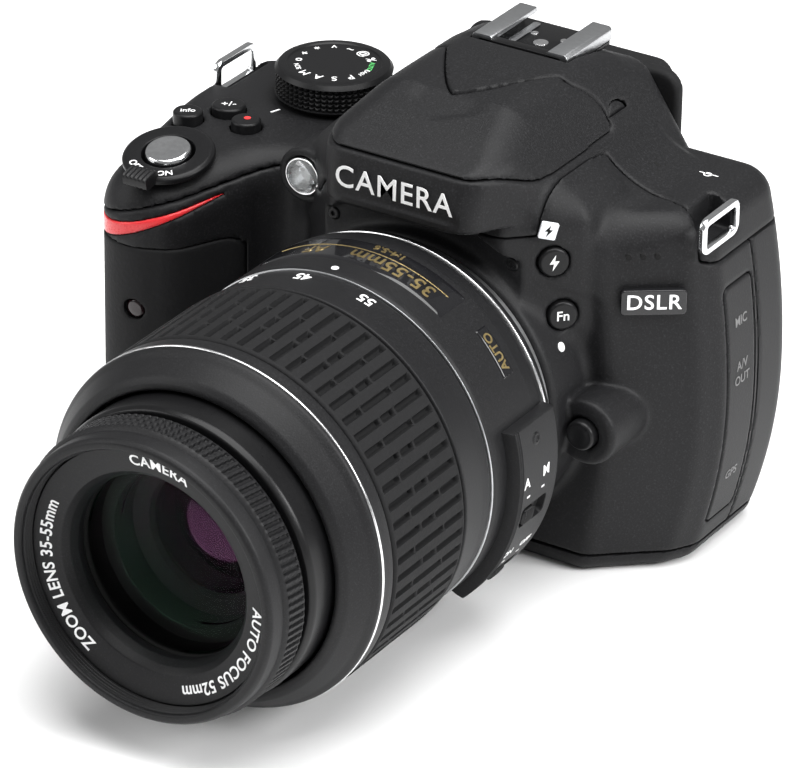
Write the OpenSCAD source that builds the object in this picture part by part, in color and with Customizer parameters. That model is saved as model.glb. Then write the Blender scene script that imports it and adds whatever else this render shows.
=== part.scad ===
// Compact digital SLR camera with a standard zoom lens.
// X points to the right as seen from the front, Y to the rear, Z up.
// The origin is the mouth of the tripod socket, under the lens axis at the sensor plane.

/* [Body] */
// Height of the left top plate, under the mode dial
left_top = 73; // [72:0.5:74]
// Height of the right shoulder
right_top = 76; // [75:0.5:76.5]
// Height of the fixed roof that carries the hot shoe
roof_z = 92.5; // [92:0.5:93]
// Thickness of the casing walls
wall = 2; // [1.8:0.1:2.2]
// Thickness of the rubber covering
rubber_t = 1; // [0.8:0.1:1]
// Height of the seam between the top cover and the lower covers
seam_z = 66; // [65:0.5:67]
// Depth of the seam between the front and rear covers
seam_y = -2; // [-2.5:0.5:-1.5]

/* [Lens mount] */
// Distance from the sensor plane to the lens flange
flange_back = 46.5; // [46.5]
// Inner radius of the bayonet lip
throat_r = 22; // [22]
// Height of the lens axis above the base
axis_z = 38; // [38:0.5:38.5]

/* [Lens] */
// Radius of the fixed barrel beside the zoom ring
barrel_r = 35.7; // [35.5:0.1:36]
// Radius of the inner barrel that moves out when zooming
inner_r = 29.6; // [29.4:0.1:29.8]
// Length of the lens from its flange to the front rim
lens_l = 89.9; // [89:0.1:90]
// Radius of the filter thread
filter_r = 26; // [26]

/* [Controls] */
// Radius of the mode dial
dial_r = 11.9; // [11:0.1:12]
// Angle by which the shutter button leans forward
lean = 12; // [10:1:14]
// Radius of the small round buttons
button_r = 3; // [2.8:0.1:3.1]
// Gap between a moving control and its hole
gap = 0.2; // [0.15:0.05:0.25]

/* [Hidden] */
$fn = 96;

// Outline of the body seen from above, without the block around the lens mount
plan_points = [
  [-60, 12], [-69.5, 3], [-69.5, -46], [-67, -51.5], [-61, -54.5], [-54, -53.5], [-48.5, -48],
  [-44, -38], [-40, -31], [36, -31], [49, -21], [53, -14], [53, 5], [49, 12]
];
// Outline of the block around the lens mount
block_points = [[-31, -20], [-31, -32], [-19, -44], [19, -44], [31, -32], [31, -20]];
block_front = -44;
brow_x = 15.6;
brow_front = -51.6;
brow_z = 77;
collar_r = 31.5;
block_slope = 45;
cover_screw_x = [-19.5, 19.5];
cover_screw_z = [18.5, 57.5];
window_at = [-58.1, 42.4];
base_z = 4;
hump_x = 26;
hump_z = 79.2;
core_x = 17;
core_front = -27;
core_rear = 13;
plate_top = 83;
lug_floor = 69.5;
loop_t = 1.4;

// Flash head and its pivot
flash_y = -4;
flash_z = 84;
flash_inner_r = 25.2;
cheek_out = 24.5;
cheek_in = 18;

// Hot shoe to the usual accessory-foot size
shoe_floor = 93.3;
shoe_channel = 9.35;
shoe_lip = 6.25;
shoe_out = 10.7;
shoe_y = [-6.6, 10.6];

// Lens stations along the axis, as Y values
flange_y = -flange_back;
barrel_y = -72.4;
zoom_front_y = -111.3;
mouth_y = -118.4;
front_y = -(flange_back + lens_l);
sleeve_r = 33.2;
zoom_bore = 33.6;
grip_rear_y = -83;
zoom_out_r = 36.2;
panel_r = 38.2;
panel_y = [-67.5, -52.5];
panel_angles = [-48, 17];
switch_angles = [-13, -37];
switch_y = -64.2;

// Controls on the top: centre, then radius
dial_at = [-44, -4];
shutter_at = [-57.4, -42.4];
slope_start = -31;
slope_z = left_top - (slope_start - shutter_at[1]) * tan(lean);
record_at = [-51, -25];
exposure_at = [-57.8, -21];
info_at = [-62.8, -28];
command_at = [-51, 4.6];
command_r = 8.8;

// Controls on the rear: X and Z
rear_y = 12;
column_x = 43.6;
column_z = [60, 49.5, 39, 28.5, 18];
selector_at = [-44, 40];
live_at = [-36.5, 56.5];
delete_at = [-44, 20];
ael_at = [-31.6, 62.4];

// Controls on the slanted face beside the mount: X, Y and Z
flash_button_at = [26.4, -36.6, 69];
fn_at = [27.8, -35.2, 57.5];
release_at = [35.5, 36];
pin_x = 27;
link_y = -37;
boss_y = -39;

screen_x = [-28, 38];
screen_z = [10, 60];

// Ports, card and battery doors
port_y = [-12.6, -3.4];
port_z = [9, 60];
port_x = 52;
card_y = [-11, 0];
card_z = [18, 60];
card_x = -68.4;
battery_x = [-64.6, -48.6];
battery_y = [-48, -10];

// ---- helpers ----

// Solid outline of the body between two heights, shrunk by an inset
module body_solid(inset, z0, z1) {
  translate([0, 0, z0])
    linear_extrude(z1 - z0)
      offset(delta = -inset) polygon(plan_points);
  translate([0, 0, max(z0, axis_z)])
    linear_extrude(z1 - max(z0, axis_z))
      offset(delta = -inset) polygon(block_points);
  intersection() {
    along_y(0, axis_z, collar_r - inset, block_front + inset, -20);
    translate([-50, -60, z0]) cube([100, 80, z1 - z0]);
  }
}

// Everything in front of or behind the seam between the front and rear covers
module front_half() translate([-100, seam_y - 100, -10]) cube([200, 100, 120]);
module rear_half() translate([-100, seam_y, -10]) cube([200, 100, 120]);

// Cylinder along Y from y0 to y1
module along_y(x, z, r, y0, y1) translate([x, y1, z]) rotate([90, 0, 0]) cylinder(r = r, h = y1 - y0);

// Ring about the lens axis from y0 to y1
module lens_ring(outer, inner, y0, y1) {
  difference() {
    along_y(0, axis_z, outer, y0, y1);
    along_y(0, axis_z, inner, y0 - 1, y1 + 1);
  }
}

// Body turned about the lens axis from a profile of [radius, y] points
module lens_turned(profile) {
  translate([0, 0, axis_z])
    rotate([90, 0, 0])
      rotate_extrude() polygon([for (p = profile) [p[0], -p[1]]]);
}

// Sectors of a ring about the lens axis, used for bayonet tabs and notches
module bayonet(outer, inner, y0, y1, start, width) {
  intersection() {
    lens_ring(outer, inner, y0, y1);
    for (k = [0:2])
      translate([0, y1, axis_z])
        rotate([90, 0, 0])
          linear_extrude(y1 - y0)
            polygon([[0, 0], for (a = [0:2]) 40 * [cos(start + 120 * k + a * width / 2),
                                                  sin(start + 120 * k + a * width / 2)]]);
  }
}

// Frame of the shutter button and power switch, with Z along its leaning axis
module on_slope() translate([shutter_at[0], shutter_at[1], slope_z]) rotate([lean, 0, 0]) children();

// Frame of a button on the slanted face, with Z pointing out of the face
module on_block(at) translate(at) rotate([90, 0, block_slope]) children();

// Round button pressed along -Z: a cap with a wider collar inside the casing
module button(r, up, down, collar = 0.6) {
  translate([0, 0, -down]) cylinder(r = r, h = up + down);
  translate([0, 0, -down]) cylinder(r = r + collar, h = 0.8);
}

module rear_button(x, z, r = button_r) translate([x, rear_y, z]) rotate([-90, 0, 0]) button(r, 1.2, 4);
module top_button(at, r = button_r) translate([at[0], at[1], left_top]) button(r, 1.1, 4);
module rear_hole(x, z, r) along_y(x, z, r + gap, rear_y - 3, rear_y + 1);
module top_hole(at, r) translate([at[0], at[1], left_top - 3]) cylinder(r = r + gap, h = 5);

// Screw head with a cross recess, looking along -Y
module screw_head(x, y, z, r = 1.9) {
  difference() {
    along_y(x, z, r, y, y + 2.4);
    for (a = [0, 90])
      translate([x, y, z]) rotate([0, a, 0]) cube([1.9, 1.2, 0.5], center = true);
  }
}

// ---- casing ----

// Solid of the grip's rubber: its front panel and the thumb rest
module rubber_zone(z0, z1) {
  difference() {
    intersection() {
      translate([0, 0, z0]) linear_extrude(z1 - z0) polygon(plan_points);
      union() {
        translate([-100, -100, z0]) cube([56, 84, z1 - z0]);
        translate([-100, 5, 26]) cube([46, 50, z1 - 26]);
      }
    }
    translate([0, 0, z0 - 1])
      linear_extrude(z1 - z0 + 2) offset(delta = -rubber_t) polygon(plan_points);
  }
}

module grip_rubber() {
  color("#161616")
    difference() {
      rubber_zone(8, 56);
      sensor_opening();
    }
}

// Hole for the remote-control window on the front of the grip
module sensor_opening() along_y(window_at[0], window_at[1], 2.2, -56, -50);

module grip_accent() {
  color("#c62026")
    intersection() {
      rubber_zone(57, 61);
      translate([-100, -100, 50]) cube([53, 60, 20]);
    }
}

module front_cover() {
  color("#1b1b1c")
    difference() {
      intersection() {
        body_solid(0, base_z, seam_z);
        front_half();
      }
      body_solid(wall, base_z - 1, seam_z + 1);
      rubber_zone(8, 56);
      grip_accent();
      along_y(0, axis_z, 25.5, -46, -38);
      release_hollow();
      on_block(fn_at) translate([0, 0, -4]) cylinder(r = button_r + gap, h = 6);
      sensor_opening();
      for (x = cover_screw_x, z = cover_screw_z) along_y(x, z, 1, -46, -40);
      port_opening();
      card_opening();
    }
  color("#1b1b1c") release_boss();
}

// Round boss around the lens release button
module release_boss() {
  difference() {
    along_y(release_at[0], release_at[1], 6.6, boss_y, -27.6);
    release_hollow();
    body_solid(0, base_z, seam_z);
  }
}

// Space for the release button, its link and the lock pin
module release_hollow() {
  along_y(release_at[0], release_at[1], 3.4, -43, -28);
  along_y(pin_x, release_at[1], 1.5, -46, -36);
  translate([25.4, link_y - 0.4, release_at[1] - 2]) cube([9, 4.4, 4]);
}

module port_opening() {
  translate([port_x - 2.5, port_y[0] - 1.6, port_z[0] - 0.3])
    cube([10, port_y[1] - port_y[0] + 2, port_z[1] - port_z[0] + 0.6]);
  translate([port_x, port_y[0], port_z[0] - 2]) cylinder(r = 0.5, h = port_z[1] - port_z[0] + 4);
}

module card_opening() {
  translate([card_x - 8, card_y[0] - 0.4, card_z[0] - 0.3])
    cube([10.5, card_y[1] - card_y[0] + 2, card_z[1] - card_z[0] + 0.6]);
  translate([card_x, card_y[1], card_z[0] - 2]) cylinder(r = 0.5, h = card_z[1] - card_z[0] + 4);
}

module rear_cover() {
  color("#1b1b1c")
    difference() {
      intersection() {
        body_solid(0, base_z, seam_z);
        rear_half();
      }
      body_solid(wall, base_z - 1, seam_z + 1);
      rubber_zone(8, 56);
      translate([screen_x[0] + 3, 9, screen_z[0] + 4])
        cube([screen_x[1] - screen_x[0] - 6, 5, screen_z[1] - screen_z[0] - 8]);
      for (z = column_z) rear_hole(column_x, z, button_r);
      rear_hole(selector_at[0], selector_at[1], 4.5);
      rear_hole(live_at[0], live_at[1], button_r);
      rear_hole(delete_at[0], delete_at[1], button_r);
      rear_hole(ael_at[0], ael_at[1], button_r);
      port_opening();
      card_opening();
    }
}

module bottom_cover() {
  color("#1b1b1c")
    difference() {
      translate([0, 0, 0]) linear_extrude(base_z) offset(delta = -2) polygon(plan_points);
      translate([0, 0, wall]) linear_extrude(base_z) offset(delta = -4) polygon(plan_points);
      cylinder(r = 7, h = 20, center = true);
      translate([battery_x[0] - 0.3, battery_y[0] - 0.3, -1])
        cube([battery_x[1] - battery_x[0] + 2, battery_y[1] - battery_y[0] + 0.6, 6]);
      along_y(battery_x[1], 1.1, 0.5, battery_y[0] - 2, battery_y[1] + 2);
    }
}

// Solid of the hump's base, roof and name panel, shrunk by an inset
module hump_solid(inset) {
  translate([-hump_x + inset, block_front + 12 + inset, seam_z])
    cube([2 * (hump_x - inset), core_rear - block_front - 12 - 2 * inset, hump_z - seam_z - inset]);
  translate([-core_x + inset, core_front + inset, seam_z])
    cube([2 * (core_x - inset), core_rear - core_front - 2 * inset, roof_z - seam_z - inset]);
}

// Top deck: the left plate with its slope, the right shoulder and the mount block
module deck_solid(inset) {
  difference() {
    union() {
      body_solid(inset, seam_z - 0.01, left_top - inset);
      intersection() {
        body_solid(inset, seam_z - 0.01, right_top - inset);
        translate([-20, -60, seam_z]) cube([80, 100, 20]);
      }
      intersection() {
        body_solid(inset, seam_z - 0.01, hump_z - inset);
        translate([-hump_x + inset, -60, seam_z]) cube([2 * (hump_x - inset), 100, 20]);
      }
    }
    translate([-100, slope_start, left_top - inset])
      rotate([lean, 0, 0]) translate([0, -60, 0]) cube([60, 60, 20]);
  }
}

module top_cover() {
  color("#1b1b1c") {
    difference() {
      union() {
        difference() {
          union() {
            deck_solid(0);
            hump_solid(0);
          }
          translate([-100, -100, seam_z - 1]) cube([200, 200, 1]);
          deck_solid(wall);
          hump_solid(wall);
        }
        // name panel in front of the flash head, on a brow that stands out over the mount
        translate([-19, block_front, hump_z - 1]) cube([38, 2.1, plate_top - hump_z + 1]);
        difference() {
          translate([-brow_x, brow_front, brow_z]) cube([2 * brow_x, block_front - brow_front + 2.1, plate_top - brow_z]);
          translate([-brow_x + wall, brow_front + wall, brow_z + wall])
            cube([2 * (brow_x - wall), block_front - brow_front - wall, plate_top]);
        }
        // bump around the assist lamp
        along_y(-31, 71, 5.6, -35, -24);
        // ribs that the eyecup slides on
        for (x = [-13.5, 12]) translate([x, core_rear - 0.5, 70]) cube([1.5, 2.1, 16]);
      }
      translate([-8.5, core_rear - 3, 72]) cube([17, 5, 12]);
      // recess of the right strap lug
      lug_pockets();
      top_hole(record_at, button_r);
      top_hole(info_at, button_r);
      top_hole(exposure_at, button_r + 0.4);
      top_hole(dial_at, 4);
      on_slope() translate([0, 0, -6]) cylinder(r = 6.4, h = 12);
      translate([command_at[0] - 9.4, 3, seam_z + 1]) cube([18.8, 12, 4]);
      on_block(flash_button_at) translate([0, 0, -4]) cylinder(r = button_r + gap, h = 6);
      along_y(-31, 71, 4, -60, -29);
      rotate([0, 90, 0]) translate([-flash_z, flash_y, -30]) cylinder(r = 1.5, h = 60);
    }
    // floors and sides of the strap lugs' pockets
    difference() {
      intersection() {
        union() {
          body_solid(0, lug_floor - 1.5, left_top);
          translate([0, -100, lug_floor]) cube([100, 200, right_top - lug_floor]);
        }
        body_solid(0, lug_floor - 1.5, right_top);
        union() {
          translate([41.5, -23, 60]) cube([20, 18.4, 20]);
          translate([-75, -14, 60]) cube([13, 18, 20]);
        }
      }
      lug_pockets();
    }
  }
}

// Spaces around the two strap lugs
module lug_pockets() {
  translate([43, -21.6, lug_floor]) cube([20, 15.2, 20]);
  translate([-78, -12.6, lug_floor]) cube([14.6, 15.2, 20]);
}

// ---- inner frame ----

module chassis() {
  color("#3a3a3c")
    difference() {
      union() {
        translate([-21, -40.5, 18]) cube([42, 33.5, 35]);
        along_y(0, axis_z, collar_r - wall - 0.2, -41.8, -40);
      }
      translate([-19.5, -40.6, 19.5]) cube([39, 40, 50]);
      along_y(0, axis_z, 23.6, -45, -40);
      translate([25, -45, release_at[1] - 3.2]) cube([20, 10, 6.4]);
      rotate([0, 90, 0]) translate([-50.5, -9, -30]) cylinder(r = 0.9, h = 60);
    }
}

module body_mount_ring() {
  color("#b9bbbd")
    difference() {
      union() {
        lens_ring(31, throat_r, flange_y, flange_y + 2.5);
        lens_ring(25.5, 23.6, flange_y + 2.4, -41.8);
      }
      lens_ring(23.6, 20, flange_y + 1.8, -40);
      bayonet(23.6, 20, flange_y - 1, flange_y + 2, 80, 46);
      along_y(pin_x, release_at[1], 1.5, -50, -40);
      for (a = [25, 155, 205, 335])
        along_y(28 * cos(a), axis_z + 28 * sin(a), 1.1, -50, -40);
    }
}

module screws() {
  color("#8f9193") {
    for (x = cover_screw_x, z = cover_screw_z) screw_in(x, z);
    for (a = [25, 155, 205, 335])
      along_y(28 * cos(a), axis_z + 28 * sin(a), 1.1, flange_y + 0.1, flange_y + 2.5);
  }
}

// Screw that holds the front cover to the inner frame, behind the mount ring
module screw_in(x, z) along_y(x, z, 1, -43.9, -41.8);

module hinge_pins() {
  color("#a5a7aa") {
    translate([port_x, port_y[0], port_z[0] - 1.6]) cylinder(r = 0.5, h = port_z[1] - port_z[0] + 3.2);
    translate([card_x, card_y[1], card_z[0] - 1.6]) cylinder(r = 0.5, h = card_z[1] - card_z[0] + 3.2);
    along_y(battery_x[1], 1.1, 0.5, battery_y[0] - 1.6, battery_y[1] + 1.6);
    for (x = [-22.5, 15.2])
      rotate([0, 90, 0]) translate([-flash_z, flash_y, x]) cylinder(r = 1.5, h = 7.3);
    translate([command_at[0], command_at[1], seam_z]) cylinder(r = 1, h = left_top - wall - seam_z);
  }
}

module hot_shoe() {
  color("#c9cbcc")
    difference() {
      translate([-shoe_out, shoe_y[0], roof_z]) cube([2 * shoe_out, shoe_y[1] - shoe_y[0], 3.6]);
      translate([-shoe_channel, shoe_y[0] - 1, shoe_floor])
        cube([2 * shoe_channel, shoe_y[1] - shoe_y[0] - 0.5, 2.1]);
      translate([-shoe_lip, shoe_y[0] - 1, shoe_floor])
        cube([2 * shoe_lip, shoe_y[1] - shoe_y[0] + 3, 6]);
    }
}

// Assist lamp and remote-control window
module front_windows() {
  color("#d8dcdc") along_y(-31, 71, 3.9, -36, -29.2);
  color("#3a1418") along_y(window_at[0], window_at[1], 2.1, -53.2, -50);
}

// One strap lug: a flat loop with a slot for the strap, standing on its long edge
module strap_loop() {
  difference() {
    union() {
      translate([-7, 0, 0]) cube([14, loop_t, 5.6]);
      translate([0, loop_t, 4.2]) rotate([90, 0, 0]) loop_top();
    }
    translate([-5.6, -1, 1.2]) cube([11.2, 4, 4.8]);
  }
}

// Rounded upper part of a strap loop
module loop_top() {
  linear_extrude(loop_t) {
    translate([-5, 0]) square([10, 3.4]);
    for (x = [-5, 5]) translate([x, 1.4]) circle(r = 2);
  }
}

module strap_lugs() {
  color("#dcdcdc") {
    translate([50, -14, lug_floor]) rotate([0, 0, 90]) strap_loop();
    translate([-66.4, -5, lug_floor]) rotate([0, 0, 90]) strap_loop();
  }
}

// Focusing screen, mirror prism and eyepiece
module viewfinder_optics() {
  color("#a9c7d6") {
    translate([-14, -36, 53.2]) cube([28, 26, 1.4]);
    translate([-13, 0, 0])
      rotate([90, 0, 90])
        linear_extrude(26)
          polygon([[-34, 56], [-34, 66], [-25, 75], [-21, 84], [-8, 87], [-2, 78], [-2, 56]]);
    along_y(0, 78, 6, 1, 10);
    translate([-8.4, 10.2, 72.1]) cube([16.8, 1.5, 11.8]);
  }
}

module tripod_socket() {
  color("#b9bbbd")
    difference() {
      cylinder(r = 7, h = 6.5);
      translate([0, 0, -1]) cylinder(r = 3.175, h = 6.5);
    }
}

module lcd_window() {
  color("#0c0d10")
    difference() {
      translate([screen_x[0], rear_y, screen_z[0]])
        cube([screen_x[1] - screen_x[0], 1.8, screen_z[1] - screen_z[0]]);
      translate([screen_x[0] + 1.2, rear_y + 1.4, screen_z[0] + 1.2])
        cube([screen_x[1] - screen_x[0] - 2.4, 1, screen_z[1] - screen_z[0] - 2.4]);
    }
}

module image_sensor() {
  color("#31473c") translate([-17, 0, axis_z - 13]) cube([34, 2, 26]);
  color("#6d87b8") translate([-12, -0.8, axis_z - 8]) cube([24, 0.8, 16]);
}

module main_board() {
  color("#1f5a35") {
    translate([-38, 4, 8]) cube([76, 1.6, 54]);
    for (x = [-30, -8, 16]) translate([x, 5.6, 20]) cube([14, 1.6, 14]);
    translate([-30, 2.6, 46]) cube([18, 1.4, 10]);
  }
}

module shutter_unit() {
  color("#2c2c2e")
    difference() {
      translate([-20, -6.6, 8]) cube([40, 4.2, 42]);
      translate([-12.5, -10, axis_z - 8.5]) cube([25, 12, 17]);
      translate([-14, -5, 9]) cube([28, 1, 39]);
    }
}

module shutter_curtain() color("#4a4a4c") translate([-13.6, -4.8, axis_z - 8.8]) cube([27.2, 0.6, 17.6]);

module mirror() {
  color("#cfd8df")
    translate([0, -9, 50.5]) {
      rotate([45, 0, 0]) translate([-13.5, -30, -0.6]) cube([27, 29.6, 1.2]);
      rotate([0, 90, 0]) translate([0, 0, -21]) cylinder(r = 0.8, h = 42);
    }
}

// ---- flash ----

module flash_head() {
  color("#1b1b1c")
    difference() {
      translate([-cheek_out, 0, 0])
        rotate([90, 0, 90])
          linear_extrude(2 * cheek_out)
            polygon([[-51.2, 83.3], [-50.8, 86], [-48.6, 88.4], [-38.8, 92.3], [-30.5, 95.2], [-21, 95.6], [-8, 93.4],
                     [-1, 89.5], [0.6, 85.5], [-0.5, 82], [-5, 80], [-41, 79.8], [-41, 83.3]]);
      rotate([0, 90, 0]) translate([-flash_z, flash_y, -cheek_in]) cylinder(r = flash_inner_r, h = 2 * cheek_in);
      rotate([0, 90, 0]) translate([-flash_z, flash_y, -30]) cylinder(r = 1.56, h = 60);
      translate([-16, -40, 79]) cube([32, 9, 3.4]);
      // the front corners run in towards the brow
      translate([0, 0, 70])
        linear_extrude(40)
          for (s = [-1, 1]) polygon([[s * 16.4, -54], [s * 28.5, -31], [s * 40, -31], [s * 40, -54]]);
      // the shoulders fall away towards both sides
      for (s = [-1, 1])
        translate([s * cheek_out, 0, 84])
          rotate([0, s * 40, 0]) translate([-20, -60, 2.6]) cube([40, 80, 30]);
    }
}

module flash_window() {
  color("#e4e2d8") translate([-15.9, -39.9, 79.9]) cube([31.8, 8.8, 2.4]);
}

// ---- controls ----

module mode_dial() {
  color("#202021")
    translate([dial_at[0], dial_at[1], 0]) {
      difference() {
        translate([0, 0, left_top + 0.4]) cylinder(r = dial_r, h = 6.8);
        for (a = [0:15:345])
          rotate([0, 0, a]) translate([dial_r + 0.55, 0, left_top]) cylinder(r = 1, h = 6);
      }
      translate([0, 0, left_top - wall - 0.2]) cylinder(r = 4, h = 3);
    }
}

module command_dial() {
  color("#202021")
    difference() {
      translate([command_at[0], command_at[1], seam_z + 1.3]) cylinder(r = command_r, h = 3.3);
      translate([command_at[0], command_at[1], 0]) cylinder(r = 1.06, h = 100);
      for (a = [0:20:340])
        translate([command_at[0], command_at[1], 0])
          rotate([0, 0, a]) translate([command_r + 0.5, 0, seam_z]) cylinder(r = 0.9, h = 10);
    }
}

module power_switch() {
  color("#202021")
    on_slope()
      difference() {
        union() {
          translate([0, 0, 0.2]) cylinder(r = 9.3, h = 1.6);
          translate([0, 0, -4]) cylinder(r = 6.2, h = 5);
          translate([-3, -12, 0.4]) cube([6, 4, 3]);
        }
        translate([0, 0, -5]) cylinder(r = 5.3, h = 10);
      }
}

module shutter_button() {
  color("#d5d6d8")
    on_slope() {
      translate([0, 0, -3.4]) cylinder(r = 4.9, h = 6.2);
    }
}

module record_button() color("#202021") top_button(record_at);
module info_button() color("#202021") top_button(info_at);
module exposure_button() color("#202021") top_button(exposure_at, button_r + 0.4);
module flash_button() color("#202021") on_block(flash_button_at) button(button_r, 0.9, 3.6);
module fn_button() color("#202021") on_block(fn_at) button(button_r, 0.9, 3.6);

module release_button() {
  color("#202021") {
    along_y(release_at[0], release_at[1], 3.1, boss_y - 2, -33.5);
    translate([pin_x - 1.2, link_y, release_at[1] - 1.6]) cube([8, 1.6, 3.2]);
  }
}

module lock_pin() color("#b9bbbd") along_y(pin_x, release_at[1], 1.2, flange_y + 0.1, link_y);

module play_button() color("#202021") rear_button(column_x, column_z[0]);
module menu_button() color("#202021") rear_button(column_x, column_z[1]);
module zoom_out_button() color("#202021") rear_button(column_x, column_z[2]);
module zoom_in_button() color("#202021") rear_button(column_x, column_z[3]);
module quick_button() color("#202021") rear_button(column_x, column_z[4]);
module live_view_button() color("#202021") rear_button(live_at[0], live_at[1]);
module delete_button() color("#202021") rear_button(delete_at[0], delete_at[1]);
module ael_button() color("#202021") rear_button(ael_at[0], ael_at[1]);

// Four-way pad: a dished ring on a hollow stem
module multi_selector() {
  color("#202021")
    difference() {
      union() {
        along_y(selector_at[0], selector_at[1], 9, rear_y + 0.9, rear_y + 2.6);
        along_y(selector_at[0], selector_at[1], 4.2, rear_y - 3.6, rear_y + 1.5);
      }
      along_y(selector_at[0], selector_at[1], 3.4, 0, 20);
    }
}

module ok_button() color("#202021") along_y(selector_at[0], selector_at[1], 3.1, rear_y - 3.4, rear_y + 2.4);

// ---- doors and battery ----

module port_door() {
  color("#19191a")
    difference() {
      union() {
        translate([port_x - 0.8, port_y[0], port_z[0]])
          cube([1.7, port_y[1] - port_y[0], port_z[1] - port_z[0]]);
        translate([port_x, port_y[0], port_z[0]]) cylinder(r = 1.2, h = port_z[1] - port_z[0]);
      }
      translate([port_x, port_y[0], 0]) cylinder(r = 0.56, h = 100);
    }
}

module card_door() {
  color("#19191a")
    difference() {
      union() {
        translate([card_x - 0.9, card_y[0], card_z[0]])
          cube([1.7, card_y[1] - card_y[0], card_z[1] - card_z[0]]);
        translate([card_x, card_y[1], card_z[0]]) cylinder(r = 1.1, h = card_z[1] - card_z[0]);
      }
      translate([card_x, card_y[1], 0]) cylinder(r = 0.56, h = 100);
    }
}

module battery_door() {
  color("#19191a")
    difference() {
      union() {
        translate([battery_x[0], battery_y[0], 0.2])
          cube([battery_x[1] - battery_x[0], battery_y[1] - battery_y[0], 1.8]);
        along_y(battery_x[1], 1.1, 1.1, battery_y[0], battery_y[1]);
      }
      along_y(battery_x[1], 1.1, 0.56, -60, 0);
    }
}

module battery() {
  color("#55585c") {
    translate([-64.2, -46.5, 2.4]) cube([13.8, 35.5, 53]);
    for (y = [-40, -34, -28]) translate([-61, y, 55.4]) cube([7, 2, 0.6]);
  }
}

module eyecup() {
  color("#131313")
    difference() {
      union() {
        translate([-21, core_rear + 0.4, 67]) cube([42, 3.4, 21]);
        translate([-17, core_rear + 3.8, 68]) cube([34, 4.8, 19]);
      }
      translate([-9.5, 0, 71.5]) cube([19, 40, 13]);
      for (x = [-13.9, 11.6]) translate([x, core_rear - 1, 60]) cube([2.3, 3, 26.4]);
    }
}

// ---- lens ----

module lens_mount() {
  color("#c4c6c8") {
    lens_ring(31, 20.5, flange_y - 1.6, flange_y - 0.05);
    lens_ring(21.7, 20.5, flange_y - 0.1, flange_y + 3.4);
    bayonet(23.2, 21.5, flange_y + 2.1, flange_y + 3.4, 142, 38);
  }
}

// Fixed barrel with the sleeve that carries the zoom ring, a rear hub and the switch panel
module lens_barrel() {
  color("#1c1c1d")
    difference() {
      union() {
        lens_turned([
          [22, flange_y - 1.7], [34, flange_y - 1.7], [34.2, -50.5], [35.4, -53], [barrel_r, -56],
          [barrel_r, barrel_y], [sleeve_r, barrel_y], [sleeve_r, zoom_front_y + 1],
          [30.2, zoom_front_y + 1], [30.2, -71.5], [15.4, -71.5], [15.4, -58], [12.6, -58],
          [12.6, flange_y - 3], [20.4, flange_y - 1.7]
        ]);
        panel_sector(panel_r, barrel_r - 0.3, panel_y);
      }
      lens_turned([
        [17.6, -69.6], [31.2, -69.6], [33.4, -66], [33.4, -54], [30, -50.4], [30, flange_y - 1],
        [22, flange_y - 1], [22, -50.4], [17.6, -54]
      ]);
      for (a = switch_angles)
        on_barrel(a) translate([panel_r - 1.8, switch_y - 0.2, -2]) cube([4, 8.4, 4]);
    }
}

// Sector of a ring about the lens axis, where the switch panel stands
module panel_sector(outer, inner, y) {
  intersection() {
    lens_ring(outer, inner, y[0], y[1]);
    translate([0, y[1], axis_z])
      rotate([90, 0, 0])
        linear_extrude(y[1] - y[0])
          polygon([[0, 0], for (a = [panel_angles[0]:panel_angles[1] - panel_angles[0]:panel_angles[1]])
            60 * [cos(a), sin(a)]]);
  }
}

// Frame on the barrel at an angle above the horizontal, with X pointing outward
module on_barrel(a) translate([0, 0, axis_z]) rotate([0, -a, 0]) children();

module lens_switch(a) {
  on_barrel(a) {
    translate([panel_r - 1.6, switch_y, -1.8]) cube([1.4, 4, 3.6]);
    translate([panel_r - 0.3, switch_y + 0.8, -1.5]) cube([1.4, 2.4, 3]);
  }
}

module focus_switch() color("#2a2a2b") lens_switch(switch_angles[0]);
module stabiliser_switch() color("#2a2a2b") lens_switch(switch_angles[1]);

module zoom_ring() {
  color("#1c1c1d")
    lens_turned([
      [zoom_bore, barrel_y - 0.3], [35.4, barrel_y - 0.3], [35.6, -76], [36.2, grip_rear_y + 0.6],
      [34.9, grip_rear_y + 0.4],
      [34.9, zoom_front_y + 1.2], [zoom_out_r, zoom_front_y + 1], [zoom_out_r, zoom_front_y],
      [34.8, -113.5], [32.4, -117.6], [31.1, mouth_y], [30.1, mouth_y], [30.1, zoom_front_y - 1],
      [zoom_bore, zoom_front_y]
    ]);
}

// Rubber cover of the zoom ring with long ribs
module zoom_grip() {
  color("#141414")
    difference() {
      lens_ring(36.4, 34.9, zoom_front_y + 1.3, grip_rear_y);
      for (a = [0:10:350])
        translate([0, grip_rear_y - 1.4, axis_z])
          rotate([90, a, 0]) translate([36.9, 0, 0]) cylinder(r = 0.9, h = 24);
    }
}

module inner_barrel() {
  color("#171718")
    lens_turned([
      [inner_r, -80], [inner_r, -124.6], [27.6, -124.6], [27.6, -123], [28.4, -123], [28.4, -80]
    ]);
}

module focus_sleeve() color("#2a2a2b") lens_ring(27.2, 25.4, -125.5, -100);

module focus_ring() {
  color("#1a1a1b")
    lens_turned([
      [28.6, -125.8], [29.3, -126.4], [29.3, -132], [28.6, -132.6], [28.4, front_y + 0.4],
      [28, front_y], [filter_r, front_y], [filter_r, -130.6], [20.4, -130.4], [18.6, -127],
      [18.6, -126.8], [21.5, -126.8], [21.5, -104], [25.1, -104], [25.1, -125.8]
    ]);
}

// Front glass: a meniscus with its rim held in the focus ring
module front_element() {
  color("#8fb7a5")
    lens_turned([
      [0, -128.2], for (r = [4:4:16]) [r, -128.2 + 0.0076 * r * r], [18.4, -125.6], [18.5, -122],
      for (r = [16:-4:4]) [r, -123.4 + 0.0036 * r * r], [0, -123.4]
    ]);
}

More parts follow.
